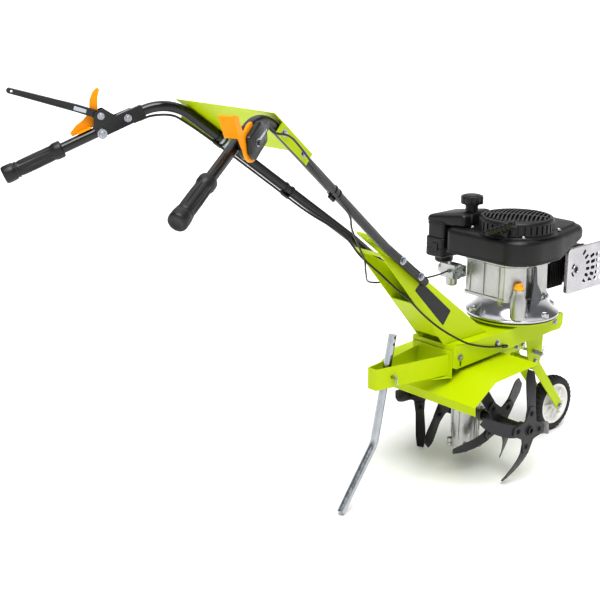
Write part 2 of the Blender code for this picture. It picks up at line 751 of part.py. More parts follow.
for i in range(8):
    turn = math.radians(45 * i)
    fin_frame = basis((CRANK_X, 0, 0), (math.cos(turn), math.sin(turn), 0), (0, 0, 1))
    vane = [(0.040, 0.578), (0.076, 0.578), (0.076, 0.596), (0.040, 0.592)]
    fan.append(prism(vane, -0.001, 0.001, fin_frame))
part(
    "flywheel",
    turned(flywheel_profile, at(XY, CRANK_X), 24),
    DARK_STEEL,
    CRANK,
    (CRANK_X, 0, 0.57),
    CRANK_AT,
    add=fan,
)
# A horizontal cylinder with square fins, pointing forward.
fins = []
for i in range(5):
    x = 0.2380 + 0.0115 * i
    fins.append(box((x, -0.0520, 0.4460), (x + 0.0028, 0.0520, 0.5425)))
part(
    "cylinder",
    rod((0.2293, 0, 0.4940), (0.3020, 0, 0.4940), 0.0400, 16),
    DARK_STEEL,
    add=[*fins, box((0.2975, -0.0480, 0.4500), (0.3100, 0.0480, 0.5380))],
)
part(
    "spark_plug",
    rod((0.3103, 0.0330, 0.4940), (0.3480, 0.0330, 0.4940), 0.0075, 12),
    PLASTIC,
    add=[rod((0.3400, 0.0330, 0.4940), (0.3400, 0.0330, 0.5200), 0.0080, 12)],
)
part(
    "muffler",
    prism(
        rounded([(0.3180, 0.4480), (0.4150, 0.4480), (0.4150, 0.5400), (0.3180, 0.5400)], 0.014, 3),
        -0.0150,
        0.0760,
        XZ,
    ),
    DARK_STEEL,
    add=[rod((0.3104, -0.0250, 0.4800), (0.3200, -0.0250, 0.4800), 0.0120, 14)],
)
guard_out = rounded([(0.2620, 0.4330), (0.4360, 0.4330), (0.4360, 0.5560), (0.2620, 0.5560)], 0.012, 3)
guard_in = rounded([(0.2632, 0.4342), (0.4348, 0.4342), (0.4348, 0.5548), (0.2632, 0.5548)], 0.011, 3)
guard_posts = [
    rod((x, -0.0860, z), (x, -0.0763, z), 0.0040, 10) for x, z in ((0.335, 0.465), (0.400, 0.520))
]
part(
    "muffler_guard",
    prism(guard_out, 0.0770, 0.0870, XZ),
    STEEL,
    add=guard_posts,
    cut=[prism(guard_in, 0.0500, 0.0858, XZ), rod((0.312, -0.1, 0.500), (0.312, -0.07, 0.500), 0.009, 12)],
)
guard = bpy.data.objects["muffler_guard"]
guard.modifiers.move(2, 0)
part(
    "carburettor",
    box((0.0230, 0.1000, 0.4800), (0.0530, 0.1500, 0.5180)),
    CAST,
    add=[
        rod((0.0400, 0.1250, 0.4580), (0.0400, 0.1250, 0.4880), 0.0160, 14),
        rod((0.0400, 0.0920, 0.5000), (0.0400, 0.1620, 0.5000), 0.0150, 12),
    ],
)
AIR_BOX = rounded([(0.0480, 0.1658), (0.1550, 0.1658), (0.1550, 0.2320), (0.0480, 0.2320)], 0.012, 3)
part(
    "air_filter_box",
    prism(AIR_BOX, 0.5200, 0.5747),
    PLASTIC,
    add=[rod((0.0900, 0.1980, 0.5020), (0.0900, 0.1980, 0.5300), 0.0250, 16)],
)
cowl_outline = [(0.035, -0.060), (0.058, -0.092), (0.100, -0.109), (0.190, -0.109), (0.330, -0.081)]
cowl_outline += [(0.352, -0.060), (0.358, 0.062), (0.340, 0.090), (0.232, 0.122), (0.180, 0.165)]
cowl_outline += [(0.062, 0.165), (0.035, 0.138)]


def inset(outline, distance):
    """The outline, given anticlockwise, moved inwards by a distance."""
    count = len(outline)
    moved = []
    for i in range(count):
        a = Vector(outline[i - 1])
        b = Vector(outline[i])
        c = Vector(outline[(i + 1) % count])
        first = Vector((-(b - a).y, (b - a).x)).normalized()
        second = Vector((-(c - b).y, (c - b).x)).normalized()
        both = (first + second).normalized()
        moved.append(tuple(b + both * (distance / max(0.3, both.dot(first)))))
    return moved


def shell_rings(steps):
    return [[Vector((x, y, z)) for x, y in inset(cowl_outline, d)] for d, z in steps]


part(
    "cowl",
    loft(shell_rings([(0.0, COWL_BOTTOM), (0.0, 0.598), (0.004, 0.608), (0.012, COWL_TOP)])),
    PLASTIC,
    cut=[
        loft(shell_rings([(0.0028, 0.53), (0.0028, 0.596), (0.014, 0.6100)])),
        rod((CRANK_X, 0, 0.60), (CRANK_X, 0, 0.63), 0.0900, 28),
        prism([(0.200, 0.530), (0.200, 0.546), (0.400, 0.602), (0.400, 0.530)], -0.2, 0.2, XZ),
    ],
)
recoil_profile = [(0.0860, 0.6133), (RECOIL_R, 0.6133), (RECOIL_R, 0.6440), (0.0920, 0.6530)]
recoil_profile += [(0.0600, RECOIL_TOP), (0.0, 0.6580), (0.0, 0.6200), (0.0072, 0.6200), (0.0072, 0.6535)]
recoil_profile += [(0.0600, 0.6520), (0.0900, 0.6490), (0.0950, 0.6420), (0.0950, 0.6160), (0.0860, 0.6160)]
ROPE_Y = -0.0386
ROPE_Z = 0.6320
part(
    "recoil_cover",
    turned(recoil_profile, at(XY, CRANK_X), 26),
    PLASTIC,
    cut=[rod((0.0300, ROPE_Y, ROPE_Z), (0.0800, ROPE_Y, ROPE_Z), 0.0035, 12)],
)
REEL_AT = (CRANK_X, 0, ROPE_Z)
REEL = empty("reel_joint", REEL_AT, ROOT)
reel_profile = [(0.0076, 0.6240), (0.0420, 0.6240), (0.0420, 0.6265), (0.0365, 0.6265)]
reel_profile += [(0.0365, 0.6375), (0.0420, 0.6375), (0.0420, 0.6400), (0.0076, 0.6400)]
part("recoil_reel", turned(reel_profile, at(XY, CRANK_X), 20), PLASTIC, REEL, REEL_AT, REEL_AT)
GRIP_AT = (0.0350, ROPE_Y, ROPE_Z)
STARTER = empty("starter_joint", GRIP_AT, ROOT)
part(
    "starter_rope",
    rod((0.0420, ROPE_Y, ROPE_Z), (0.2250, ROPE_Y, ROPE_Z), 0.0016, 8),
    RUBBER,
    STARTER,
    GRIP_AT,
    GRIP_AT,
)
grip_way = Vector((0.20, -0.80, 0.36)).normalized()
grip_mid = Vector((0.0345, ROPE_Y, 0.6400))
grip_frame = Matrix.Translation(grip_mid) @ grip_way.to_track_quat("Z", "Y").to_matrix().to_4x4()
grip_profile = [(0.0, -0.0430), (0.0075, -0.0425), (0.0105, -0.0380), (0.0095, -0.0150), (0.0095, 0.0150)]
grip_profile += [(0.0105, 0.0380), (0.0075, 0.0425), (0.0, 0.0430)]
part(
    "starter_grip",
    turned(grip_profile, grip_frame, 12),
    PLASTIC,
    STARTER,
    GRIP_AT,
    GRIP_AT,
    add=[rod((0.0340, ROPE_Y, ROPE_Z), (0.0480, ROPE_Y, ROPE_Z), 0.0060, 12)],
    cut=[rod((0.0410, ROPE_Y, ROPE_Z), (0.0600, ROPE_Y, ROPE_Z), 0.0022, 8)],
)
tank_outline = [(0.058, 0.106), (0.082, 0.100), (0.100, 0.112), (0.130, 0.112), (0.184, 0.114)]
tank_outline += [(0.184, 0.170), (0.172, 0.226), (0.160, 0.234), (0.060, 0.234), (0.050, 0.224)]
tank_side = [(0.050, 0.1660), (0.170, 0.1660), (0.170, 0.2200), (0.160, 0.2300), (0.060, 0.2300), (0.050, 0.2200)]


def tank_ring(distance, height):
    """The tank's top falls towards its outer end."""
    ring = []
    for x, y in inset(tank_outline, distance):
        fall = 0.0 if height < 0.62 else 0.016 * min(1.0, max(0.0, (y - 0.120) / 0.110))
        ring.append(Vector((x, y, height - fall)))
    return ring


tank_rings = [(0.002, 0.6136), (0.0, 0.6190), (0.0, 0.6380), (0.004, 0.6450), (0.014, 0.6490)]
part(
    "fuel_tank",
    loft([tank_ring(d, z) for d, z in tank_rings]),
    PLASTIC,
    add=[
        prism(tank_side, 0.5755, 0.6180),
        rod((0.1250, 0.1360, 0.6400), (0.1250, 0.1360, 0.6627), 0.0170, 16),
    ],
)
CAP_AT = (0.1250, 0.1360, 0.6630)
CAP = empty("fuel_cap_joint", CAP_AT, ROOT)
cap_outline = []
for i in range(32):
    angle = 2 * math.pi * i / 32
    radius = 0.0305 - 0.0020 * (0.5 + 0.5 * math.cos(8 * angle))
    cap_outline.append((radius * math.cos(angle), radius * math.sin(angle)))
part(
    "fuel_cap",
    prism(cap_outline, 0.6670, 0.6880, at(XY, 0.1250, 0.1360)),
    PLASTIC,
    CAP,
    CAP_AT,
    CAP_AT,
    add=[
        rod((0.1250, 0.1360, 0.6630), (0.1250, 0.1360, 0.6680), 0.0200, 16),
        rod((0.1250, 0.1360, 0.6870), (0.1250, 0.1360, 0.6910), 0.0230, 16),
    ],
)
OIL_AT = (0.0720, -0.0750, 0.4800)
OIL = empty("oil_cap_joint", OIL_AT, ROOT)
part(
    "oil_cap",
    rod((0.0720, -0.0750, 0.4800), (0.0720, -0.0750, 0.4880), 0.0130, 12),
    ORANGE,
    OIL,
    OIL_AT,
    OIL_AT,
    add=[box((0.0600, -0.0770, 0.4870), (0.0840, -0.0730, 0.4960))],
)

# ---------------------------------------------------------------- belt and idler
drive_in = DRIVE_GROOVE_R + 0.0005
driven_in = DRIVEN_GROOVE_R + 0.0005
span = CRANK_X - WORM_X


def belt_outline(small, large, steps=10):
    """The loop round the driven pulley and the drive pulley."""
    tilt = math.asin((large - small) / span)
    out = []
    for i in range(steps + 1):
        angle = -(math.pi / 2 - tilt) + (math.pi - 2 * tilt) * i / steps
        out.append((CRANK_X + small * math.cos(angle), small * math.sin(angle)))
    for i in range(2 * steps + 1):
        angle = (math.pi / 2 - tilt) + (math.pi + 2 * tilt) * i / (2 * steps)
        out.append((WORM_X + large * math.cos(angle), large * math.sin(angle)))
    return out


part(
    "drive_belt",
    prism(belt_outline(drive_in + 0.005, driven_in + 0.005), BELT_Z - 0.004, BELT_Z + 0.004),
    RUBBER,
    cut=[prism(belt_outline(drive_in, driven_in), BELT_Z - 0.01, BELT_Z + 0.01)],
)
ARM_AT = (IDLER_PIVOT.x, IDLER_PIVOT.y, BELT_Z)
ARM_JOINT = empty("idler_arm_joint", ARM_AT, ROOT)
IDLER_AT = (IDLER_X, IDLER_Y, BELT_Z)
IDLER = empty("idler_joint", IDLER_AT, ARM_JOINT, Vector(ARM_AT))
idler_arm = rounded(
    [(0.045, -0.0620), (0.114, -0.0605), (0.114, -0.0440), (0.045, -0.0470)],
    [0.007, 0.008, 0.008, 0.007],
    3,
)
part(
    "idler_arm",
    prism(idler_arm, 0.3350, 0.3378),
    STEEL,
    ARM_JOINT,
    ARM_AT,
    ARM_AT,
    add=[rod((IDLER_X, IDLER_Y, 0.3370), (IDLER_X, IDLER_Y, 0.3630), 0.0030, 12)],
    cut=[rod((*IDLER_PIVOT.xy, 0.33), (*IDLER_PIVOT.xy, 0.345), 0.0048, 12)],
)
roller = [(0.0033, 0.3465), (0.0120, 0.3465), (0.0120, 0.3595), (0.0033, 0.3595)]
part(
    "idler_pulley",
    turned(roller, at(XY, IDLER_X, IDLER_Y), 16),
    DARK_STEEL,
    IDLER,
    IDLER_AT,
    IDLER_AT,
)

# ---------------------------------------------------------------- handlebars
bar_way = (TUBE_END - TUBE_APEX).normalized()
bar_points = path([TUBE_LOW, TUBE_KNEE, TUBE_APEX, TUBE_END - bar_way * 0.004], [0.10, 0.10], 6)
part("handlebar_left", swept(bar_points, TUBE_R, 12), BLACK_PAINT)
part("handlebar_right", mirrored(swept(bar_points, TUBE_R, 12)), BLACK_PAINT)
grip_start = TUBE_END - bar_way * GRIP_L
grip_matrix = Matrix.Translation(grip_start) @ bar_way.to_track_quat("Z", "Y").to_matrix().to_4x4()
handle_profile = [(0.0114, 0.0), (0.0170, 0.0), (0.0180, 0.0040), (0.0180, 0.0180), (0.0155, 0.0230)]
handle_profile += [(0.0162, 0.0600), (0.0158, 0.0950), (0.0175, 0.1050), (0.0185, 0.1180), (0.0165, 0.1270)]
handle_profile += [(0.0120, 0.1310), (0.0, 0.1320), (0.0, 0.1275), (0.0114, 0.1275)]
part("grip_left", turned(handle_profile, grip_matrix, 14), RUBBER)
part("grip_right", mirrored(turned(handle_profile, grip_matrix, 14)), RUBBER)

# The brace is a sheet in front of the tubes just below the bend, with a flange outside each tube.
low_way = (TUBE_KNEE - TUBE_APEX).normalized()
flat_way = Vector((low_way.x, 0, low_way.z)).normalized()
front_way = Vector((-flat_way.z, 0, flat_way.x))
if front_way.z < 0:
    front_way = -front_way
tube_at = TUBE_APEX + low_way * 0.024
brace_frame = basis((tube_at.x, 0, tube_at.z), flat_way, (0, 1, 0))
lift = (brace_frame.to_3x3() @ Vector((0, 0, 1))).dot(front_way)
lift = 1.0 if lift > 0 else -1.0
tube_half = tube_at.y
slope = abs(low_way.y) / math.hypot(low_way.x, low_way.z)
BRACE_L = 0.152
top_half = tube_half + TUBE_R + 0.0045
low_half = top_half - slope * BRACE_L
sheet_low = 0.0125
sheet_high = 0.0145


def brace_level(level):
    return lift * level


brace_outline = [(0, -top_half), (BRACE_L, -low_half), (BRACE_L, low_half), (0, top_half)]
brace_inside = [(-0.01, -top_half + 0.0015), (BRACE_L + 0.01, -low_half + 0.0025)]
brace_inside += [(BRACE_L + 0.01, low_half - 0.0025), (-0.01, top_half - 0.0015)]
brace_levels = sorted((brace_level(-0.0130), brace_level(sheet_high)))
inside_levels = sorted((brace_level(-0.0200), brace_level(sheet_low)))
part(
    "brace_plate",
    prism(brace_outline, *brace_levels, brace_frame),
    LIME,
    cut=[
        prism(brace_inside, *inside_levels, brace_frame),
        prism([(-0.02, -0.2), (0.030, -0.2), (0.030, 0.2), (-0.02, 0.2)], *inside_levels, brace_frame),
    ],
)

# ---------------------------------------------------------------- controls on the handlebars
hand_out = Vector((bar_way.x, bar_way.y, 0)).normalized()
left_in = Vector((hand_out.y, -hand_out.x, 0))
if left_in.y > 0:
    left_in = -left_in
left_up = bar_way.cross(left_in)
if left_up.z < 0:
    left_up = -left_up


def left_at(along, up, side=0.0):
    """A point beside the left handle: distance along it from the bend, height over its axis, and inboard."""
    return TUBE_APEX + bar_way * along + left_up * up + left_in * side


left_frame = Matrix((bar_way, left_up, left_in)).transposed().to_4x4()
left_frame.translation = TUBE_APEX
CLUTCH_AT = left_at(0.142, 0.028)
CLUTCH = empty("clutch_lever_joint", CLUTCH_AT, ROOT)
LOCK_AT = left_at(0.150, 0.040)
LOCK = empty("clutch_lock_joint", LOCK_AT, ROOT)
cheek_corners = [(0.078, -0.0130), (0.164, -0.0130), (0.166, 0.0120), (0.152, 0.0400)]
cheek_corners += [(0.132, 0.0400), (0.116, 0.0160), (0.078, 0.0150)]
cheek_out = rounded(cheek_corners, 0.004, 1)
saddle = [(0.080, 0.0118), (0.112, 0.0118), (0.112, 0.0150), (0.080, 0.0150)]
part(
    "clutch_bracket",
    prism(cheek_out, 0.0118, 0.0140, left_frame),
    BLACK_PAINT,
    add=[
        prism(cheek_out, -0.0140, -0.0118, left_frame),
        prism(saddle, -0.0130, 0.0130, left_frame),
        rod(left_at(0.142, 0.028, -0.0165), left_at(0.142, 0.028, 0.0165), 0.0030, 10),
    ],
)
LEVER_WAY = Vector((math.cos(math.radians(40.5)), math.sin(math.radians(40.5))))
lever_root = Vector((0.142, 0.028))
lever_tip = lever_root + LEVER_WAY * 0.188
lever_side = Vector((-LEVER_WAY.y, LEVER_WAY.x))
lever_outline = [
    lever_root - LEVER_WAY * 0.010 - lever_side * 0.006,
    lever_root + LEVER_WAY * 0.006 - lever_side * 0.0075,
    lever_root + LEVER_WAY * 0.050 - lever_side * 0.0060,
    lever_tip - lever_side * 0.0055,
    lever_tip + LEVER_WAY * 0.004,
    lever_tip + lever_side * 0.0055,
    lever_root + LEVER_WAY * 0.050 + lever_side * 0.0095,
    lever_root + LEVER_WAY * 0.006 + lever_side * 0.0085,
    lever_root - LEVER_WAY * 0.010 + lever_side * 0.006,
]
tip_hole = lever_tip - LEVER_WAY * 0.006
part(
    "clutch_lever",
    prism([tuple(p) for p in lever_outline], -0.0030, 0.0080, left_frame),
    BLACK_PAINT,
    CLUTCH,
    tuple(CLUTCH_AT),
    tuple(CLUTCH_AT),
    cut=[
        rod(left_at(0.142, 0.028, -0.03), left_at(0.142, 0.028, 0.03), 0.0033, 10),
        rod(left_at(*tip_hole, -0.03), left_at(*tip_hole, 0.03), 0.0025, 10),
    ],
)
lock_outline = [(0.152, 0.0122), (0.212, 0.0122), (0.212, 0.0195), (0.168, 0.0230)]
lock_outline += [(0.158, 0.0320), (0.154, 0.0480), (0.140, 0.0660), (0.120, 0.0860)]
lock_outline += [(0.113, 0.0840), (0.124, 0.0640), (0.136, 0.0460), (0.146, 0.0280)]
lock_foot = [(0.170, 0.0122), (0.200, 0.0122), (0.200, 0.0160), (0.170, 0.0160)]
part(
    "clutch_lock",
    prism(lock_outline, -0.0095, -0.0045, left_frame),
    ORANGE,
    LOCK,
    tuple(LOCK_AT),
    tuple(LOCK_AT),
    add=[prism(lock_foot, -0.0095, 0.0085, left_frame)],
)

right_out = Vector((-left_in.x, left_in.y, 0))
right_way = Vector((bar_way.x, -bar_way.y, bar_way.z))
right_up = Vector((left_up.x, -left_up.y, left_up.z))
right_apex = Vector((TUBE_APEX.x, -TUBE_APEX.y, TUBE_APEX.z))
right_frame = Matrix((right_way, right_up, right_out)).transposed().to_4x4()
right_frame.translation = right_apex


def right_at(along, up, side=0.0):
    """A point beside the right handle: distance along it from the bend, height over its axis, and outboard."""
    return right_apex + right_way * along + right_up * up + right_out * side


THROTTLE_MID = (0.102, -0.004)
THROTTLE_AT = right_at(*THROTTLE_MID, 0.024)
THROTTLE = empty("throttle_joint", THROTTLE_AT, ROOT)
housing = []
for i in range(18):
    angle = 2 * math.pi * i / 18
    housing.append((THROTTLE_MID[0] + 0.033 * math.cos(angle), THROTTLE_MID[1] + 0.033 * math.sin(angle)))
nose = [(0.056, -0.014), (0.096, -0.032), (0.096, 0.024), (0.056, 0.006)]
part(
    "throttle_housing",
    prism(housing, 0.0115, 0.0200, right_frame),
    PLASTIC,
    add=[
        prism(nose, 0.0118, 0.0200, right_frame),
        rod(right_at(*THROTTLE_MID, 0.019), right_at(*THROTTLE_MID, 0.0420), 0.0050, 12),
    ],
)
throttle_frame = right_frame @ Matrix.Translation((*THROTTLE_MID, 0.0))
disc = [(0.0053, 0.0206), (0.0370, 0.0206), (0.0370, 0.0256), (0.0053, 0.0256)]
paddle = [(0.128, 0.004), (0.1385, 0.000), (0.146, 0.030), (0.152, 0.070)]
paddle += [(0.146, 0.078), (0.134, 0.068), (0.130, 0.036), (0.112, 0.026)]
thumb = [(0.1430, 0.028), (0.1480, 0.030), (0.1540, 0.078), (0.1490, 0.079)]
behind = [(0.050, -0.050), (0.088, -0.050), (0.088, 0.050), (0.050, 0.050)]
part(
    "throttle_lever",
    turned(disc, throttle_frame, 20),
    ORANGE,
    THROTTLE,
    tuple(THROTTLE_AT),
    tuple(THROTTLE_AT),
    add=[
        prism(paddle, 0.0206, 0.0256, right_frame),
        prism(thumb, -0.0040, 0.0256, right_frame),
    ],
    cut=[prism(behind, 0.0190, 0.0340, right_frame)],
)

# ---------------------------------------------------------------- cables
clutch_route = [
    left_at(0.073, -0.0150, 0.0),
    left_at(0.045, -0.0180, 0.0),
    TUBE_APEX + Vector((0.003, -0.004, -0.0345)),
    TUBE_APEX + low_way * 0.060 - front_way * 0.0185,
    TUBE_APEX + low_way * 0.150 - front_way * 0.0160 + Vector((0, -0.003, 0)),
    TUBE_APEX + low_way * 0.300 - front_way * 0.0165 + Vector((0, -0.006, 0)),
    TUBE_APEX + low_way * 0.420 - front_way * 0.0165 + Vector((0, -0.008, 0)),
    (-0.4490, 0.0360, 0.6860),
    (-0.4050, 0.0210, 0.6300),
    (-0.3620, -0.0020, 0.5840),
    (-0.3370, -0.0330, 0.5480),
    (-0.3140, -0.0500, 0.5230),
    (-0.2600, -0.0500, 0.4740),
    (-0.2100, -0.0560, 0.4330),
    (-0.1620, -0.0680, 0.4000),
    (-0.1160, -0.0760, 0.3750),
    (-0.0460, -0.0770, 0.3520),
    (0.0150, -0.0765, 0.3400),
]
wire("clutch_cable", smooth(clutch_route, 2), 0.0025, RUBBER)

throttle_route = [
    right_at(0.053, -0.003, 0.022),
    right_at(0.038, -0.002, 0.026),
    (-0.8450, -0.1900, 0.9800),
    (-0.8000, -0.1820, 0.9680),
    (-0.7580, -0.1690, 0.9390),
    (-0.6910, -0.1500, 0.8780),
    (-0.6300, -0.1280, 0.8260),
    (-0.5610, -0.1010, 0.7690),
    (-0.5320, -0.0800, 0.7300),
    (-0.4830, -0.0500, 0.6820),
    (-0.4380, -0.0260, 0.6340),
    (-0.3950, 0.0120, 0.5880),
    (-0.3300, 0.0620, 0.5450),
    (-0.2200, 0.0780, 0.5250),
    (-0.1110, 0.0840, 0.5120),
    (-0.0300, 0.1080, 0.5020),
    (0.0190, 0.1220, 0.5000),
]
wire("throttle_cable", smooth(throttle_route, 2), 0.0022, RUBBER)
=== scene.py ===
"""The looks of the walk-behind tiller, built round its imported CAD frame."""

import math

import bmesh
import bpy
from mathutils import Matrix, Vector


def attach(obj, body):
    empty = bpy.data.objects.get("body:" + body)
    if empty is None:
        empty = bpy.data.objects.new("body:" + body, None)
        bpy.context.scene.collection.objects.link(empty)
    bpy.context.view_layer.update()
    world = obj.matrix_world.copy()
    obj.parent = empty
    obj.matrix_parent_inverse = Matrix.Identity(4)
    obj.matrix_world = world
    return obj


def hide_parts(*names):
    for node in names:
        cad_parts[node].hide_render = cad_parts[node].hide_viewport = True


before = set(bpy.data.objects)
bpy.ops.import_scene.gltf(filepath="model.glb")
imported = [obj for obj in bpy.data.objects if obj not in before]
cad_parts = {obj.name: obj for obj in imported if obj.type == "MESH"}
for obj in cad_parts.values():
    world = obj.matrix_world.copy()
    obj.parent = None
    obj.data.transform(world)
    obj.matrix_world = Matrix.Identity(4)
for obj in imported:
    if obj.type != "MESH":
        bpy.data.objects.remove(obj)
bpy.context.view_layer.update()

# The design's x = 0 is the tine axle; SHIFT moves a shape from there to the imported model's frame.
SHIFT = Vector((0.3604, 0.0, 0.0))
AXLE_Z = 0.146
CRANK_X = 0.145
COLUMN_X = -0.028
TUBE_R = 0.011
TUBE_LOW = Vector((-0.262, 0.0535, 0.5555))
TUBE_KNEE = Vector((-0.4, 0.0535, 0.6645))
TUBE_APEX = Vector((-0.844, 0.149, 1.015))
TUBE_END = Vector((-1.15, 0.3, 0.869))
GRIP_L = 0.131
WHEEL = Vector((0.345, 0.0, 0.08))
FORK_PIVOT = Vector((0.21, 0.0, 0.245))
DRAG_TIP = Vector((-0.48, 0.0, 0.0061))
DRAG_BEND = Vector((-0.37, 0.0, 0.155))
DRAG_TOP = Vector((-0.3125, 0.0, 0.424))
PIN_Z = 0.325
SHEET = 0.003


# ---------------------------------------------------------------- materials
class Nodes:
    """A material's node tree, with short calls for the few nodes that the surfaces use."""

    def __init__(self, name):
        self.material = bpy.data.materials.new(name)
        self.material.use_nodes = True
        self.tree = self.material.node_tree
        self.shader = self.tree.nodes["Principled BSDF"]
        self.coords = self.tree.nodes.new("ShaderNodeTexCoord").outputs["Object"]

    def add(self, kind, **values):
        node = self.tree.nodes.new(kind)
        for key, value in values.items():
            node.inputs[key.replace("_", " ")].default_value = value
        return node

    def link(self, output, target):
        self.tree.links.new(output, target)

    def stretched(self, scale):
        mapping = self.add("ShaderNodeMapping", Scale=scale)
        self.link(self.coords, mapping.inputs["Vector"])
        return mapping.outputs["Vector"]

    def noise(self, scale, detail=3.0, stretch=None, rough=0.55):
        node = self.add("ShaderNodeTexNoise", Scale=scale, Detail=detail, Roughness=rough)
        self.link(self.stretched(stretch) if stretch else self.coords, node.inputs["Vector"])
        return node.outputs["Fac"]

    def cells(self, scale):
        node = self.add("ShaderNodeTexVoronoi", Scale=scale)
        self.link(self.coords, node.inputs["Vector"])
        return node.outputs["Distance"]

    def ranged(self, value, low, high, start=0.3, end=0.7):
        node = self.tree.nodes.new("ShaderNodeMapRange")
        node.inputs["From Min"].default_value = start
        node.inputs["From Max"].default_value = end
        node.inputs["To Min"].default_value = low
        node.inputs["To Max"].default_value = high
        self.link(value, node.inputs["Value"])
        return node.outputs["Result"]

    def mixed(self, factor, first, second):
        node = self.tree.nodes.new("ShaderNodeMix")
        node.data_type = "RGBA"
        self.link(factor, node.inputs[0])
        for slot, color in ((6, first), (7, second)):
            if isinstance(color, tuple):
                node.inputs[slot].default_value = (*color, 1.0)
            else:
                self.link(color, node.inputs[slot])
        return node.outputs[2]

    def bump(self, height, strength, distance, under=None):
        node = self.add("ShaderNodeBump", Strength=strength, Distance=distance)
        self.link(height, node.inputs["Height"])
        if under:
            self.link(under, node.inputs["Normal"])
        return node.outputs["Normal"]


def shade(color, amount):
    return tuple(min(1.0, c * amount) for c in color)


def surface(name, color, rough=(0.3, 0.4), metallic=0.0, tint=0.08, patch=7.0, grain=500.0,
            grain_depth=0.0002, grain_strength=0.2, brush=None, flecks=None, gloss=0.5, leather=0.0):
    """A surface whose colour drifts in patches, with a fine grain, brushed lines, flecks or leather."""
    n = Nodes(name)
    patches = n.noise(patch, 4.0)
    base = n.mixed(n.ranged(patches, 0.0, 1.0), shade(color, 1.0 - tint), shade(color, 1.0 + tint))
    if flecks:
        fleck_color, fleck_scale, fleck_start = flecks
        spots = n.ranged(n.noise(fleck_scale, 5.0, rough=0.7), 0.0, 1.0, fleck_start, fleck_start + 0.12)
        base = n.mixed(spots, base, fleck_color)
    n.link(base, n.shader.inputs["Base Color"])
    wear = n.noise(patch * 5.0, 6.0, brush)
    n.link(n.ranged(wear, *rough), n.shader.inputs["Roughness"])
    normal = n.bump(n.noise(grain, 3.0, brush), grain_strength, grain_depth)
    if leather > 0:
        normal = n.bump(n.cells(leather), 0.25, 0.0002, normal)
    n.link(normal, n.shader.inputs["Normal"])
    n.shader.inputs["Metallic"].default_value = metallic
    n.shader.inputs["Specular IOR Level"].default_value = gloss
    return n.material


LIME = surface(
    "lime_paint", (0.44, 0.56, 0.001), (0.3, 0.46), tint=0.04, grain=700, grain_strength=0.12, gloss=0.2,
)
BLACK_PAINT = surface("black_gloss_paint", (0.006, 0.006, 0.007), (0.14, 0.26), tint=0.3, grain=900,
                      grain_strength=0.06, gloss=0.6)
TINE_PAINT = surface("tine_paint", (0.026, 0.025, 0.029), (0.34, 0.52), 0.2, 0.2, 14, 420,
                     grain_strength=0.3, flecks=((0.05, 0.05, 0.055), 160, 0.68))
PLASTIC = surface("moulded_black_plastic", (0.009, 0.009, 0.01), (0.34, 0.46), tint=0.12, grain=1500,
                  grain_strength=0.22, gloss=0.42, leather=1100)
GLOSS_PLASTIC = surface("smooth_black_plastic", (0.008, 0.008, 0.009), (0.2, 0.34), tint=0.15, grain=900,
                        grain_strength=0.1)
RUBBER = surface(
    "black_rubber", (0.012, 0.012, 0.013), (0.32, 0.48), tint=0.2, grain=800, grain_strength=0.35,
    flecks=((0.024, 0.024, 0.025), 90, 0.68), gloss=0.45,
)
TYRE = surface("tyre_rubber", (0.02, 0.019, 0.02), (0.55, 0.8), tint=0.2, grain=600, grain_strength=0.5,
               flecks=((0.05, 0.048, 0.046), 70, 0.66), gloss=0.4)
CABLE = surface(
    "cable_sheath", (0.008, 0.008, 0.008), (0.28, 0.42), tint=0.15, grain=700, grain_strength=0.15,
)
WHITE = surface("white_plastic", (0.76, 0.75, 0.73), (0.34, 0.48), tint=0.03, grain=900, grain_strength=0.1,
                flecks=((0.62, 0.62, 0.6), 60, 0.74))
ORANGE = surface(
    "orange_plastic", (0.92, 0.33, 0.002), (0.34, 0.48), tint=0.05, grain=900, grain_strength=0.15,
    gloss=0.22,
)
YELLOW = surface("yellow_plastic", (0.95, 0.4, 0.005), (0.3, 0.42), tint=0.06, grain=900, grain_strength=0.15,
                 gloss=0.35)
CAST = surface("cast_aluminium", (0.46, 0.46, 0.45), (0.26, 0.44), 0.95, 0.14, 16, 340, 0.0004, 0.4,
               flecks=((0.3, 0.3, 0.29), 210, 0.64))
BRIGHT = surface("polished_aluminium", (0.5, 0.5, 0.52), (0.1, 0.22), 1.0, 0.08, 12, 260, 0.0003, 0.12,
                 flecks=((0.45, 0.45, 0.46), 120, 0.7))
ZINC = surface("zinc_plated_steel", (0.4, 0.42, 0.45), (0.16, 0.34), 1.0, 0.16, 22, 260, 0.0002, 0.2,
               brush=(1.0, 1.0, 0.12), flecks=((0.24, 0.25, 0.27), 80, 0.66))
GUARD_STEEL = surface("aluminised_sheet", (0.5, 0.49, 0.51), (0.2, 0.34), 0.95, 0.1, 18, 420, 0.0002, 0.25)
DARK_STEEL = surface("dark_steel", (0.05, 0.048, 0.047), (0.32, 0.52), 0.8, 0.3, 18, 300, 0.0003, 0.4,
                     flecks=((0.11, 0.09, 0.07), 90, 0.68))
PANEL = surface(
    "blank_panel_film", (0.014, 0.015, 0.017), (0.32, 0.44), tint=0.1, grain=1200, grain_strength=0.05,
    gloss=0.35,
)
LABEL = surface(
    "blank_label_film", (0.45, 0.48, 0.52), (0.35, 0.5), tint=0.05, grain=900, grain_strength=0.05,
)
GUSSET = surface("grey_cast_gusset", (0.075, 0.077, 0.085), (0.34, 0.5), 0.5, 0.2, 18, 420, 0.0004, 0.4)


# ---------------------------------------------------------------- shape helpers, in design coordinates
def basis(origin, u, v):
    """A matrix whose columns are u, v and their cross product, at origin."""
    u = Vector(u).normalized()
    v = Vector(v).normalized()
    made = Matrix((u, v, u.cross(v).normalized())).transposed().to_4x4()
    made.translation = Vector(origin)
    return made


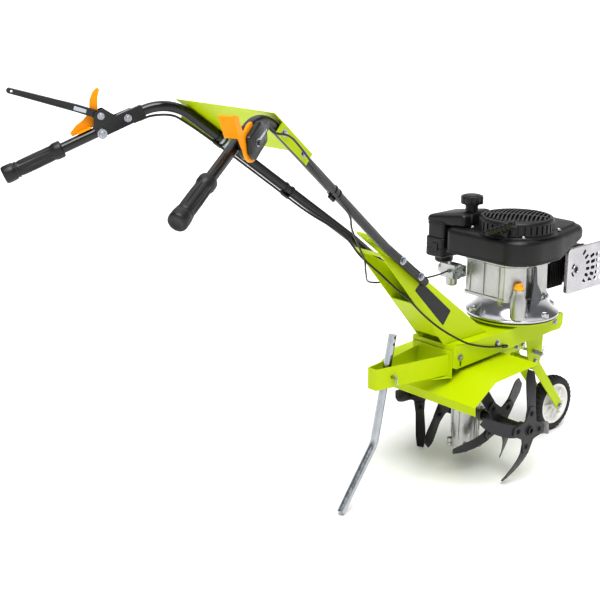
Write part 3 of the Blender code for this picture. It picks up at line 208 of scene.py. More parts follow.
XY = basis((0, 0, 0), (1, 0, 0), (0, 1, 0))
XZ = basis((0, 0, 0), (1, 0, 0), (0, 0, 1))
YZ = basis((0, 0, 0), (0, 1, 0), (0, 0, 1))


def at(base, x=0.0, y=0.0, z=0.0):
    return Matrix.Translation((x, y, z)) @ base


def prism(outline, low, high, base=XY):
    """The outline in the base's u and v, extruded from low to high along its w."""
    bm = bmesh.new()
    face = bm.faces.new([bm.verts.new(base @ Vector((u, v, low))) for u, v in outline])
    grown = bmesh.ops.extrude_face_region(bm, geom=[face])["geom"]
    tops = [item for item in grown if isinstance(item, bmesh.types.BMVert)]
    bmesh.ops.translate(bm, verts=tops, vec=base.to_3x3() @ Vector((0, 0, high - low)))
    bmesh.ops.recalc_face_normals(bm, faces=bm.faces)
    return bm


def box(low, high):
    outline = [(low[0], low[1]), (high[0], low[1]), (high[0], high[1]), (low[0], high[1])]
    return prism(outline, low[2], high[2])


def turned(profile, base=XY, steps=72):
    """The (radius, height) profile spun about the base's w axis."""
    bm = bmesh.new()
    points = [bm.verts.new((r, 0.0, h)) for r, h in profile]
    edges = [bm.edges.new(pair) for pair in zip(points, points[1:])]
    if profile[0][0] > 0 or profile[-1][0] > 0:
        edges.append(bm.edges.new((points[-1], points[0])))
    spun = {"cent": (0, 0, 0), "axis": (0, 0, 1), "angle": 2.0 * math.pi, "steps": steps}
    bmesh.ops.spin(bm, geom=points + edges, use_merge=True, **spun)
    bmesh.ops.remove_doubles(bm, verts=bm.verts, dist=1e-6)
    bmesh.ops.delete(bm, geom=[e for e in bm.edges if not e.link_faces], context="EDGES")
    bmesh.ops.recalc_face_normals(bm, faces=bm.faces)
    bmesh.ops.transform(bm, matrix=base, verts=bm.verts)
    return bm


def line_frame(start, end):
    """A frame at start whose w axis points to end."""
    turn = (Vector(end) - Vector(start)).to_track_quat("Z", "Y").to_matrix().to_4x4()
    return Matrix.Translation(Vector(start)) @ turn


def rod(start, end, radius, steps=32):
    length = (Vector(end) - Vector(start)).length
    turn = line_frame(start, end) @ Matrix.Rotation(0.09 + 0.8 * radius, 4, "Z")
    return turned([(0.0, 0.0), (radius, 0.0), (radius, length), (0.0, length)], turn, steps)


def loft(rings):
    """Closed rings of points joined one after another, with a face at each end."""
    bm = bmesh.new()
    made = [[bm.verts.new(point) for point in ring] for ring in rings]
    count = len(made[0])
    for lower, upper in zip(made, made[1:]):
        for i in range(count):
            j = (i + 1) % count
            bm.faces.new((lower[i], lower[j], upper[j], upper[i]))
    bm.faces.new(made[0])
    bm.faces.new(made[-1])
    bmesh.ops.recalc_face_normals(bm, faces=bm.faces)
    return bm


def merged(shapes):
    """Several shapes in one mesh, side by side."""
    whole = bmesh.new()
    for shape in shapes:
        mesh = bpy.data.meshes.new("part_of_whole")
        shape.to_mesh(mesh)
        shape.free()
        whole.from_mesh(mesh)
        bpy.data.meshes.remove(mesh)
    return whole


def rounded(outline, radius, steps=6):
    """A polygon with its corners rounded; radius is one number or one for each corner."""
    points = [Vector(p) for p in outline]
    count = len(points)
    radii = radius if isinstance(radius, (list, tuple)) else [radius] * count
    out = []
    for i, point in enumerate(points):
        before = points[i - 1] - point
        after = points[(i + 1) % count] - point
        if radii[i] <= 0:
            out.append(tuple(point))
            continue
        angle = before.angle(after)
        back = min(radii[i] / math.tan(angle / 2), 0.49 * before.length, 0.49 * after.length)
        first = point + before.normalized() * back
        last = point + after.normalized() * back
        for k in range(steps + 1):
            t = k / steps
            out.append(tuple((1 - t) ** 2 * first + 2 * t * (1 - t) * point + t * t * last))
    return out


def path(points, radii, steps=14):
    """A polyline in space with its inner corners rounded to the given radii."""
    points = [Vector(p) for p in points]
    out = [points[0]]
    for i in range(1, len(points) - 1):
        before = (points[i - 1] - points[i]).normalized()
        after = (points[i + 1] - points[i]).normalized()
        turn = math.pi - before.angle(after)
        back = radii[i - 1] * math.tan(turn / 2)
        centre = points[i] + (before + after).normalized() * (radii[i - 1] / math.cos(turn / 2))
        first = points[i] + before * back - centre
        last = points[i] + after * back - centre
        for k in range(steps + 1):
            t = k / steps
            a = math.sin((1 - t) * turn) / math.sin(turn)
            b = math.sin(t * turn) / math.sin(turn)
            out.append(centre + first * a + last * b)
    out.append(points[-1])
    return out


def smooth(points, steps=6):
    """A Catmull-Rom polyline through the points."""
    points = [Vector(p) for p in points]
    padded = [2 * points[0] - points[1], *points, 2 * points[-1] - points[-2]]
    out = []
    for a, b, c, d in zip(padded, padded[1:], padded[2:], padded[3:]):
        for k in range(steps):
            t = k / steps
            even = 2 * b + (c - a) * t + (2 * a - 5 * b + 4 * c - d) * t**2
            out.append(0.5 * even + 0.5 * (3 * b - a - 3 * c + d) * t**3)
    out.append(points[-1])
    return out


def swept(points, radius, sides=32):
    """A round bar along the points. radius is one number or a function of the share of the way."""
    points = [Vector(p) for p in points]
    rings = []
    side = None
    for i, point in enumerate(points):
        way = (points[min(i + 1, len(points) - 1)] - points[max(i - 1, 0)]).normalized()
        side = way.cross(Vector((0.3, 1, 0.2))) if side is None else side - way * side.dot(way)
        side = side.normalized()
        other = way.cross(side)
        size = radius(i / (len(points) - 1)) if callable(radius) else radius
        ring = []
        for k in range(sides):
            angle = 2 * math.pi * k / sides
            ring.append(point + side * (size * math.cos(angle)) + other * (size * math.sin(angle)))
        rings.append(ring)
    return loft(rings)


def mirrored(bm):
    """The mesh moved to the other side of the machine."""
    bmesh.ops.transform(bm, matrix=Matrix.Diagonal((1, -1, 1, 1)), verts=bm.verts)
    bmesh.ops.reverse_faces(bm, faces=bm.faces)
    return bm


def inset(outline, distance):
    """The outline, given anticlockwise, moved inwards by a distance."""
    moved = []
    for i in range(len(outline)):
        a = Vector(outline[i - 1])
        b = Vector(outline[i])
        c = Vector(outline[(i + 1) % len(outline)])
        first = Vector((-(b - a).y, (b - a).x)).normalized()
        second = Vector((-(c - b).y, (c - b).x)).normalized()
        both = (first + second).normalized()
        moved.append(tuple(b + both * (distance / max(0.3, both.dot(first)))))
    return moved


def stacked(outline, steps):
    """The outline's copies, each moved inwards by a distance at a height, joined into one body."""
    return loft([[Vector((x, y, z)) for x, y in inset(outline, d)] for d, z in steps])


def oblong(left, low, right, high, radius, steps=6):
    """A rectangle with rounded corners."""
    return rounded([(left, low), (right, low), (right, high), (left, high)], radius, steps)


def as_object(name, bm):
    mesh = bpy.data.meshes.new(name)
    bmesh.ops.translate(bm, verts=bm.verts, vec=SHIFT)
    bm.to_mesh(mesh)
    bm.free()
    made = bpy.data.objects.new(name, mesh)
    bpy.context.scene.collection.objects.link(made)
    return made


def piece(name, bm, mat, body="frame", replaces=(), add=(), cut=(), bevel=0.0007, angle=32, segments=2):
    """One visual piece. Its joins and cuts are made at once, and a modifier rounds its edges."""
    made = as_object(name, bm)
    tools = []
    for operation, shapes in (("UNION", add), ("DIFFERENCE", cut)):
        for shape in shapes:
            tool = as_object(f"{name}_tool_{len(tools)}", shape)
            tools.append(tool)
            boolean = made.modifiers.new(tool.name, "BOOLEAN")
            boolean.operation = operation
            boolean.solver = "EXACT"
            boolean.object = tool
    if tools:
        bpy.context.view_layer.update()
        evaluated = made.evaluated_get(bpy.context.evaluated_depsgraph_get())
        baked = bpy.data.meshes.new_from_object(evaluated)
        made.modifiers.clear()
        made.data = baked
        for tool in tools:
            bpy.data.objects.remove(tool)
    made.data.materials.clear()
    made.data.materials.append(mat)
    made.data.shade_smooth()
    made.data.set_sharp_from_angle(angle=math.radians(angle))
    if bevel > 0:
        edge = made.modifiers.new("edge", "BEVEL")
        edge.width = bevel
        edge.segments = segments
        edge.limit_method = "ANGLE"
        edge.angle_limit = math.radians(angle)
        edge.harden_normals = True
        edge.miter_outer = "MITER_ARC"
    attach(made, body)
    if replaces:
        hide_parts(*replaces)
    return made


def hexagon(start, end, radius):
    """A hexagon bar with a turned chamfer at its far end."""
    length = (Vector(end) - Vector(start)).length
    outline = [(radius * math.cos(math.radians(60 * i + 12)), radius * math.sin(math.radians(60 * i + 12)))
               for i in range(6)]
    low = line_frame(start, end)
    rings = []
    for height, size in ((0.0, 1.0), (0.82 * length, 1.0), (length, 0.86)):
        rings.append([low @ Vector((u * size, v * size, height)) for u, v in outline])
    return loft(rings)


def bolt(spot, way, size=0.0065, stem=0.0):
    """A hexagon head on its washer at spot, pointing along way, with a short thread if asked."""
    spot = Vector(spot)
    way = Vector(way).normalized()
    head = [
        turned(
            [(0.0, 0.0), (1.55 * size, 0.0), (1.55 * size, 0.0013), (0.0, 0.0013)],
            line_frame(spot, spot + way), 32,
        )
    ]
    head.append(hexagon(spot + way * 0.0012, spot + way * (0.0012 + 0.75 * size), size))
    if stem > 0:
        head.append(rod(spot, spot + way * (0.75 * size + stem), 0.5 * size, 20))
    return merged(head)


def ring_of(radius, thick, base, steps=36, sides=10):
    """A wire ring round the base's w axis."""
    profile = []
    for k in range(sides):
        angle = 2 * math.pi * k / sides
        profile.append((radius + thick * math.cos(angle), thick * math.sin(angle)))
    return turned(profile, base, steps)


def hairpin(spot, way, across, size=0.02):
    """A spring clip of bent wire: a straight leg through the pin, a ring, and a waved leg."""
    spot = Vector(spot)
    way = Vector(way).normalized()
    across = Vector(across).normalized()
    outline = [(-0.5, 0.0), (0.2, 0.0), (0.75, 0.0), (0.95, 0.16), (0.9, 0.38), (0.68, 0.42)]
    outline += [(0.5, 0.2), (0.28, 0.16), (0.08, 0.24), (-0.12, 0.2), (-0.34, 0.38)]
    points = [spot + way * (size * u) + across * (size * v) for u, v in outline]
    return swept(smooth(points, 5), 0.001, 8)


def carried(name, mat, bevel=0.0, angle=32):
    """A CAD node that stays: it gets the material, and soft edges when a bevel is given."""
    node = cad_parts[name]
    node.data.materials.clear()
    node.data.materials.append(mat)
    if bevel > 0:
        weld = node.modifiers.new("weld", "WELD")
        weld.merge_threshold = 0.00001
        edge = node.modifiers.new("edge", "BEVEL")
        edge.width = bevel
        edge.segments = 2
        edge.limit_method = "ANGLE"
        edge.angle_limit = math.radians(angle)
        edge.harden_normals = True
    return node


# ---------------------------------------------------------------- belt housing, column, guard and brackets
def belt_housing():
    side = [(-0.165, 0.32), (-0.165, 0.376), (0.28, 0.376), (0.28, 0.345)]
    side += [(0.27, 0.3345), (0.2, 0.3305), (-0.155, 0.315)]
    inside = [(-0.1625, 0.29), (-0.1625, 0.3735), (0.2775, 0.3735), (0.2775, 0.29)]
    slot = oblong(-0.142, 0.319, -0.136, 0.333, 0.0029)
    piece(
        "deck_shell",
        prism(side, -0.07, 0.07, XZ),
        LIME,
        replaces=["deck"],
        cut=[
            prism(inside, -0.0675, 0.0675, XZ),
            rod((CRANK_X, 0, 0.36), (CRANK_X, 0, 0.39), 0.045, 48),
            prism(slot, -0.1, 0.1, XZ),
        ],
        bevel=0.0012,
        segments=3,
    )
    heads = []
    for x, z in ((-0.142, 0.344), (0.001, 0.35), (0.243, 0.359)):
        heads.append(bolt((x, -0.0702, z), (0, -1, 0), 0.0062, 0.002))
        heads.append(bolt((x, 0.0702, z), (0, 1, 0), 0.0062, 0.002))
    piece("deck_bolts", merged(heads), ZINC, bevel=0.0003)
    # A low plate hangs inside the near edge, and holds the cable's end and the belt guide.
    plate = rounded(
        [(0.028, 0.296), (0.064, 0.296), (0.07, 0.306), (0.128, 0.306), (0.128, 0.333), (0.028, 0.333)],
        0.004,
    )
    piece("cable_stop_plate", prism(plate, 0.061, 0.0632, XZ), LIME, bevel=0.0005)
    stops = [
        bolt((0.092, -0.0634, 0.317), (0, -1, 0), 0.005, 0.003),
        bolt((0.117, -0.0634, 0.319), (0, -1, 0), 0.0045),
    ]
    stops.append(hexagon((0.034, -0.0665, 0.332), (0.047, -0.0665, 0.329), 0.0048))
    piece("cable_stop_screws", merged(stops), ZINC, bevel=0.0003)


def engine_ring():
    profile = [(0.088, 0.3763), (0.098, 0.3763), (0.098, 0.3845), (0.12, 0.3845), (0.12, 0.3895)]
    profile += [(0.07, 0.3895), (0.07, 0.3855), (0.088, 0.3855)]
    piece(
        "engine_ring", turned(profile, at(XY, CRANK_X), 128), LIME, replaces=["engine_mount_ring"],
        bevel=0.0011, segments=3,
    )


def column():
    side = [(-0.408, 0.65), (-0.278, 0.582), (-0.0085, 0.3763), (-0.172, 0.3763)]
    down = Vector((-0.278 + 0.0085, 0.582 - 0.3763)).normalized()
    inward = Vector((down.y, -down.x))
    if inward.y > 0:
        inward = -inward
    top = Vector((-0.278, 0.582)) + inward * SHEET + down * 0.1
    low = Vector((-0.0085, 0.3763)) + inward * SHEET - down * 0.02
    inside = [tuple(top), tuple(low), (-0.23, 0.3), (-0.5, 0.62)]
    cross_low = Vector((-0.1915, 0.4))
    cross_top = Vector((-0.278, 0.5))
    across = cross_top - cross_low
    out = Vector((-across.y, across.x)).normalized() * SHEET
    cross = [cross_low, cross_top, cross_top - out, cross_low - out]
    start = Vector((-0.245, 0.5568))
    tongue_frame = basis((start.x, 0, start.y), (down.x, 0, down.y), (0, -1, 0))
    up = tongue_frame.to_3x3() @ Vector((0, 0, 1))
    levels = (0.0, SHEET) if up.z < 0 else (-SHEET, 0.0)
    tongue = rounded([(0, -0.028), (0.226, -0.022), (0.226, 0.022), (0, 0.028)], [0, 0.018, 0.018, 0], 8)
    hole = [tongue_frame @ Vector((0.2, 0, d)) for d in (-0.01, 0.01)]
    piece(
        "column_shell",
        prism(side, -0.042, 0.042, XZ),
        LIME,
        cut=[prism(inside, -0.042 + SHEET, 0.042 - SHEET, XZ)],
        bevel=0.0014,
        segments=3,
        replaces=["handle_column"],
    )
    piece("column_cross_plate", prism([tuple(p) for p in cross], -0.0388, 0.0388, XZ), LIME, bevel=0.0006)
    piece("column_tongue", prism(tongue, *levels, tongue_frame), LIME, cut=[rod(*hole, 0.005)], bevel=0.0009)
    panel = [(-0.179, 0.428), (-0.152, 0.461), (-0.264, 0.556), (-0.284, 0.537)]
    piece("column_panel", prism(rounded(panel, 0.004), 0.04205, 0.04245, XZ), PANEL, bevel=0.0001)
    heads = []
    for x, z in ((-0.351, 0.626), (-0.288, 0.577)):
        heads.append(bolt((x, -0.0642, z), (0, -1, 0), 0.0066, 0.003))
        heads.append(bolt((x, 0.0642, z), (0, 1, 0), 0.0066, 0.003))
    piece("column_bolts", merged(heads), ZINC, bevel=0.0003)


def tine_guard():
    top = [(0.04, 0.313), (-0.13, 0.304), (-0.204, 0.256), (-0.201, 0.232)]
    low = [(-0.199, 0.232), (-0.202, 0.255), (-0.1292, 0.302), (0.04, 0.311)]
    piece(
        "guard_sheet",
        prism(top + low, -0.175, 0.175, XZ),
        LIME,
        replaces=["tine_guard"],
        cut=[rod((COLUMN_X, 0, 0.28), (COLUMN_X, 0, 0.33), 0.0375, 48)],
        bevel=0.0009,
    )


def drag_hitch():
    node = carried("drag_bracket", LIME, 0.0009)
    way = (DRAG_TOP - DRAG_BEND).normalized()
    pin = DRAG_BEND + way * ((PIN_Z - DRAG_BEND.z) / way.z)
    slot_frame = basis(pin, way, Vector((0, 1, 0)).cross(way))
    slot = oblong(-0.006, -0.0045, 0.052, 0.0045, 0.0044)
    holes = [prism(slot, -0.02, 0.02, slot_frame)]
    for along in (-0.03, 0.078, 0.095):
        spot = pin + way * along
        holes.append(rod((spot.x, -0.02, spot.z), (spot.x, 0.02, spot.z), 0.0035, 24))
    piece("depth_bar", swept(path([DRAG_TIP, DRAG_BEND, DRAG_TOP], [0.06]), 0.01), ZINC, "depth_bar",
          ["drag_bar"], cut=holes, bevel=0.0006)
    pin_parts = [
        rod((pin.x, -0.036, PIN_Z), (pin.x, 0.032, PIN_Z), 0.004),
        rod((pin.x, 0.031, PIN_Z), (pin.x, 0.0362, PIN_Z), 0.007),
    ]
    pin_parts.append(hairpin((pin.x, -0.032, PIN_Z), (0.1, 0, -1), (0, -1, 0.1), 0.022))
    piece("hitch_pin", merged(pin_parts), ZINC, replaces=["drag_pin"], bevel=0.0004)
    heads = [bolt((-0.1672, y, z), (1, 0, 0), 0.005) for y in (-0.056, 0.056) for z in (0.302, 0.354)]
    piece("hitch_bolts", merged(heads), ZINC, bevel=0.0003)
    gussets = []
    for side in (-1, 1):
        corner = [(-0.169, 0.052 * side), (-0.169, 0.0655 * side), (-0.215, 0.0445 * side)]
        gussets.append(prism(corner, 0.2945, 0.2965))
    piece("hitch_gussets", merged(gussets), LIME, bevel=0.0003)


# ---------------------------------------------------------------- gearbox and rotors
def gearbox():
    ways = [(1, 1), (1, -1), (-1, 1), (-1, -1)]
    lugs = [(COLUMN_X + 0.0275 * a, 0.0275 * b) for a, b in ways]
    ribs = []
    for i in range(10):
        angle = math.radians(36 * i + 12)
        radial = basis((COLUMN_X, 0, 0), (math.cos(angle), math.sin(angle), 0), (0, 0, 1))
        ribs.append(
            prism(
                [(0.03, 0.08), (0.0385, 0.086), (0.0385, 0.304), (0.03, 0.316)], -0.0014, 0.0014, radial,
            )
        )
    piece(
        "gearbox_case",
        rod((COLUMN_X, 0, 0.062), (COLUMN_X, 0, 0.329), 0.036, 64),
        CAST,
        add=[
            rod((0, -0.02, AXLE_Z), (0, 0.02, AXLE_Z), 0.04, 64),
            rod((0, -0.04, AXLE_Z), (0, 0.04, AXLE_Z), 0.019, 48),
            rod((COLUMN_X, 0, 0.3225), (COLUMN_X, 0, 0.3309), 0.046, 64),
            *[rod((x, y, 0.063), (x, y, 0.074), 0.0075, 24) for x, y in lugs],
            *ribs,
        ],
        cut=[rod((0, -0.06, AXLE_Z), (0, 0.06, AXLE_Z), 0.0113, 40)],
        replaces=["gearbox_housing"],
        bevel=0.0009,
    )
    foot = [rod((x, y, 0.0545), (x, y, 0.0617), 0.0075, 24) for x, y in lugs]
    piece("gearbox_foot", rod((COLUMN_X, 0, 0.0545), (COLUMN_X, 0, 0.0617), 0.036, 64), CAST, add=foot,
          replaces=["gearbox_bottom_cover"], bevel=0.0008)
    heads = [bolt((x, y, 0.0543), (0, 0, -1), 0.0042) for x, y in lugs]
    piece("gearbox_bolts", merged(heads), ZINC, bevel=0.0003)
    seals = [
        ring_of(0.0145, 0.0022, line_frame((0, 0.0402 * s, AXLE_Z), (0, s, AXLE_Z)), 40, 10)
        for s in (-1, 1)
    ]
    piece("axle_seals", merged(seals), RUBBER, bevel=0.0)


STAR = [(-45, 0.033), (-26, 0.042), (-9, 0.064), (9, 0.064), (26, 0.042)]
BLADE_STEPS = 22
TINE_R = 0.1452
BLADE_BOLT_R = 0.044


def blade(angle, y, inward):
    """A sickle blade bolted to the star's arm at this angle, curving inward and twisting as it goes out."""
    out = Vector((math.cos(angle), 0, math.sin(angle)))
    lead = Vector((math.sin(angle), 0, -math.cos(angle)))
    side = Vector((0, inward, 0))
    spots = []
    for i in range(BLADE_STEPS + 1):
        radius = 0.03 + (TINE_R - 0.03) * i / BLADE_STEPS
        bend = max(0.0, (radius - 0.056) / (TINE_R - 0.056))
        centre = Vector((0, y, AXLE_Z)) + out * radius
        centre += lead * (0.024 * bend**1.8) + side * (0.0035 + 0.036 * bend**1.3)
        twist = math.radians(14) * bend
        across = lead * math.cos(twist) - side * math.sin(twist)
        width = 0.033 - 0.013 * max(0.0, (bend - 0.62) / 0.38) ** 1.8
        spots.append((centre, across, width, 0.0042 - 0.0012 * bend))
    rings = []
    for i, (centre, across, width, thick) in enumerate(spots):
        way = (spots[min(i + 1, BLADE_STEPS)][0] - spots[max(i - 1, 0)][0]).normalized()
        across = (across - way * across.dot(way)).normalized()
        normal = way.cross(across).normalized()
        # One long edge is ground: the face slopes away over the last fifth of the width.
        ring = []
        for u, v in ((-0.5, -0.5), (0.34, -0.5), (0.5, -0.16), (0.5, 0.1), (0.3, 0.5), (-0.5, 0.5)):
            ring.append(centre + across * (width * u) + normal * (thick * v))
        rings.append(ring)
    return loft(rings)


def rotor(name, y, phase):
    inward = -1.0 if y > 0 else 1.0
    star = []
    for arm in range(4):
        for offset, radius in STAR:
            angle = math.radians(phase + 90 * arm + offset)
            star.append((radius * math.cos(angle), radius * math.sin(angle)))
    star = rounded(star, [0.01, 0.004, 0.006, 0.006, 0.004] * 4, 4)
    shapes = [blade(math.radians(phase + 90 * arm), y, inward) for arm in range(4)]
    ends = sorted((y - 0.0035 * inward, y + 0.03 * inward))
    hub = turned([(0.0113, ends[0]), (0.0155, ends[0]), (0.0155, ends[1]), (0.0113, ends[1])],
                 Matrix.Translation((0, 0, AXLE_Z)) @ basis((0, 0, 0), (0, 0, 1), (1, 0, 0)), 48)
    plate = prism(star, -0.002, 0.002, at(XZ, 0, y, AXLE_Z))
    piece(name + "_star", merged([*shapes, plate, hub]), TINE_PAINT, "tines", [name], bevel=0.0005, angle=30)
    heads = []
    for arm in range(4):
        angle = math.radians(phase + 90 * arm)
        spot = Vector(
            (
                BLADE_BOLT_R * math.cos(angle), y - 0.0021 * inward,
                AXLE_Z + BLADE_BOLT_R * math.sin(angle),
            )
        )
        heads.append(bolt(spot, (0, -inward, 0), 0.0052))
        heads.append(bolt(spot + Vector((0, inward * 0.0078, 0)), (0, inward, 0), 0.0048, 0.003))
    piece(name + "_bolts", merged(heads), DARK_STEEL, "tines", bevel=0.0003)


def tines():
    axle = turned([(0.0065, -0.194), (0.011, -0.194), (0.011, 0.194), (0.0065, 0.194)],
                  Matrix.Translation((0, 0, AXLE_Z)) @ basis((0, 0, 0), (0, 0, 1), (1, 0, 0)), 48)
    piece("axle_tube", axle, DARK_STEEL, "tines", ["tine_axle"], bevel=0.0005)
    rotor("rotor_outer_right", -0.186, -10)
    rotor("rotor_outer_left", 0.186, -6)
    rotor("rotor_inner_right", -0.09, 35)
    rotor("rotor_inner_left", 0.09, 43)


# ---------------------------------------------------------------- front wheel
def front_wheel():
    base = basis(WHEEL, (0, 0, 1), (1, 0, 0))
    tyre = [(0.0585, -0.016), (0.061, -0.019), (0.068, -0.019), (0.072, -0.0172), (0.0742, -0.0135)]
    tyre += [(0.0752, -0.007), (0.0755, 0.0), (0.0752, 0.007), (0.0742, 0.0135), (0.072, 0.0172)]
    tyre += [(0.068, 0.019), (0.061, 0.019), (0.0585, 0.016)]
    treads = []
    count = 34
    for i in range(count):
        angle = 2 * math.pi * i / count
        for row, turn in ((-1, 0.0), (1, math.pi / count)):
            a = angle + turn
            out = Vector((math.cos(a), 0, math.sin(a)))
            along = Vector((-math.sin(a), 0, math.cos(a)))
            block = []
            for radius, high in ((0.072, 1.0), (0.0799, 0.86)):
                ring = []
                for u, v in ((-1, 0), (1, 0), (1, 1), (-1, 1)):
                    across = row * (0.0018 + v * 0.015 * high)
                    drop = 0.003 * v
                    spot = WHEEL + out * (radius - drop) + along * (0.0046 * u * high + 0.003 * v)
                    ring.append(spot + Vector((0, across, 0)))
                block.append(ring)
            treads.append(loft(block))
    piece(
        "tyre_tread", merged([turned(tyre, base, 96), *treads]), TYRE, "front_wheel", ["tyre"],
        bevel=0.0004, angle=40,
    )
    hub = [(0.0053, -0.023), (0.013, -0.023), (0.014, -0.007), (0.046, -0.0045), (0.05, -0.01)]
    hub += [(0.053, -0.0163), (0.0583, -0.0163), (0.0583, 0.0163), (0.053, 0.0163), (0.05, 0.01)]
    hub += [(0.046, 0.0045), (0.014, 0.007), (0.013, 0.023), (0.0053, 0.023)]
    ribs = []
    for i in range(8):
        angle = math.radians(45 * i)
        radial = basis(WHEEL, (math.cos(angle), 0, math.sin(angle)), (0, 1, 0))
        ribs.append(
            prism(
                [(0.012, -0.017), (0.05, -0.011), (0.05, 0.011), (0.012, 0.017)], -0.0011, 0.0011,
                radial,
            )
        )
    piece("wheel_disc", turned(hub, base, 96), WHITE, "front_wheel", ["wheel_hub"], add=ribs, bevel=0.0008)


def wheel_mount():
    carried("wheel_bracket", LIME, 0.0007)
    way = (WHEEL - FORK_PIVOT).normalized()
    up = Vector((-way.z, 0, way.x))
    long = (WHEEL - FORK_PIVOT).length
    base = basis(FORK_PIVOT, way, up)
    arm = rounded([(-0.015, -0.016), (long + 0.012, -0.012), (long + 0.012, 0.012), (-0.015, 0.016)],
                  [0.015, 0.012, 0.012, 0.015], 10)
    bridge = [(0.03, 0.0095), (0.07, 0.008), (0.07, 0.011), (0.03, 0.0125)]
    reach = Vector((0, 0.05, 0))
    piece(
        "fork",
        prism(arm, 0.0285, 0.032, base),
        LIME,
        "fork",
        ["wheel_fork"],
        add=[prism(arm, -0.032, -0.0285, base), prism(bridge, -0.03, 0.03, base)],
        cut=[rod(FORK_PIVOT - reach, FORK_PIVOT + reach, 0.0053), rod(WHEEL - reach, WHEEL + reach, 0.0053)],
        bevel=0.001,
    )
    shank = rod(WHEEL - Vector((0, 0.0375, 0)), WHEEL + Vector((0, 0.0365, 0)), 0.005, 24)
    ends = [
        bolt(WHEEL - Vector((0, 0.0322, 0)), (0, -1, 0), 0.0062),
        bolt(WHEEL + Vector((0, 0.0322, 0)), (0, 1, 0), 0.0058),
    ]
    piece("axle_bolt", merged([shank, *ends]), ZINC, "fork", ["wheel_axle_bolt"], bevel=0.0003)
    latch = [rod((0.2, -0.07, 0.275), (0.2, 0.044, 0.275), 0.004)]
    latch.append(rod((0.2, 0.043, 0.275), (0.2, 0.048, 0.275), 0.0075))
    coil = []
    for i in range(121):
        angle = 2 * math.pi * i / 15
        coil.append((0.2 + 0.006 * math.cos(angle), -0.0385 - 0.0002 * i, 0.275 + 0.006 * math.sin(angle)))
    latch.append(swept(coil, 0.0008, 8))
    latch.append(hairpin((0.2, -0.066, 0.275), (0.25, 0, 1), (1, 0, -0.25), 0.022))
    piece("latch_pin", merged(latch), ZINC, replaces=["wheel_latch_pin"], bevel=0.0003)
    washers = [bolt((FORK_PIVOT.x, s * 0.0377, FORK_PIVOT.z), (0, s, 0), 0.0056) for s in (-1, 1)]
    piece("fork_pivot_nuts", merged(washers), ZINC, bevel=0.0003)


# ---------------------------------------------------------------- engine
SUMP_R = 0.1225
FILLER = (0.072, -0.075)
TANK_NECK = (0.125, 0.136)
CYLINDER_Z = 0.494


def sump():
    profile = [(0.0126, 0.3898), (0.084, 0.3898), (0.084, 0.3932), (SUMP_R, 0.3932), (SUMP_R, 0.3985)]
    profile += [(0.119, 0.401), (0.109, 0.4085), (0.099, 0.42), (0.0935, 0.43), (0.09, 0.44)]
    profile += [(0.084, 0.44), (0.086, 0.418), (0.098, 0.399), (0.022, 0.3965), (0.022, 0.42), (0.0126, 0.42)]
    piece("sump_skirt", turned(profile, at(XY, CRANK_X), 128), BRIGHT, replaces=["engine_sump"], bevel=0.0008)
    seal = turned(
        [(0.086, 0.3899), (0.1216, 0.3899), (0.1216, 0.3928), (0.086, 0.3928)], at(XY, CRANK_X), 128,
    )
    piece("sump_seal", seal, RUBBER, bevel=0.0004)
    lugs = []
    heads = []
    for degrees in (-128, -92, -28, 32, 92, 152):
        angle = math.radians(degrees)
        x = CRANK_X + 0.11 * math.cos(angle)
        y = 0.11 * math.sin(angle)
        lugs.append(turned([(0.0, 0.394), (0.012, 0.394), (0.0105, 0.4095), (0.0, 0.4095)], at(XY, x, y), 32))
        inner = basis((CRANK_X, 0, 0), (math.cos(angle), math.sin(angle), 0), (0, 0, 1))
        lugs.append(
            prism([(0.086, 0.395), (0.108, 0.395), (0.108, 0.406), (0.088, 0.43)], -0.005, 0.005, inner)
        )
        heads.append(bolt((x, y, 0.4096), (0, 0, 1), 0.0058))
    piece("sump_lugs", merged(lugs), CAST, bevel=0.001)
    piece("sump_bolts", merged(heads), ZINC, bevel=0.0003)
    boss = [(0.0, 0.402), (0.0205, 0.402), (0.0215, 0.43), (0.0195, 0.454), (0.015, 0.468), (0.014, 0.473)]
    filler = turned([*boss, (0.014, 0.4797), (0.0, 0.4797)], at(XY, *FILLER), 48)
    piece("oil_filler", filler, CAST, bevel=0.0006)


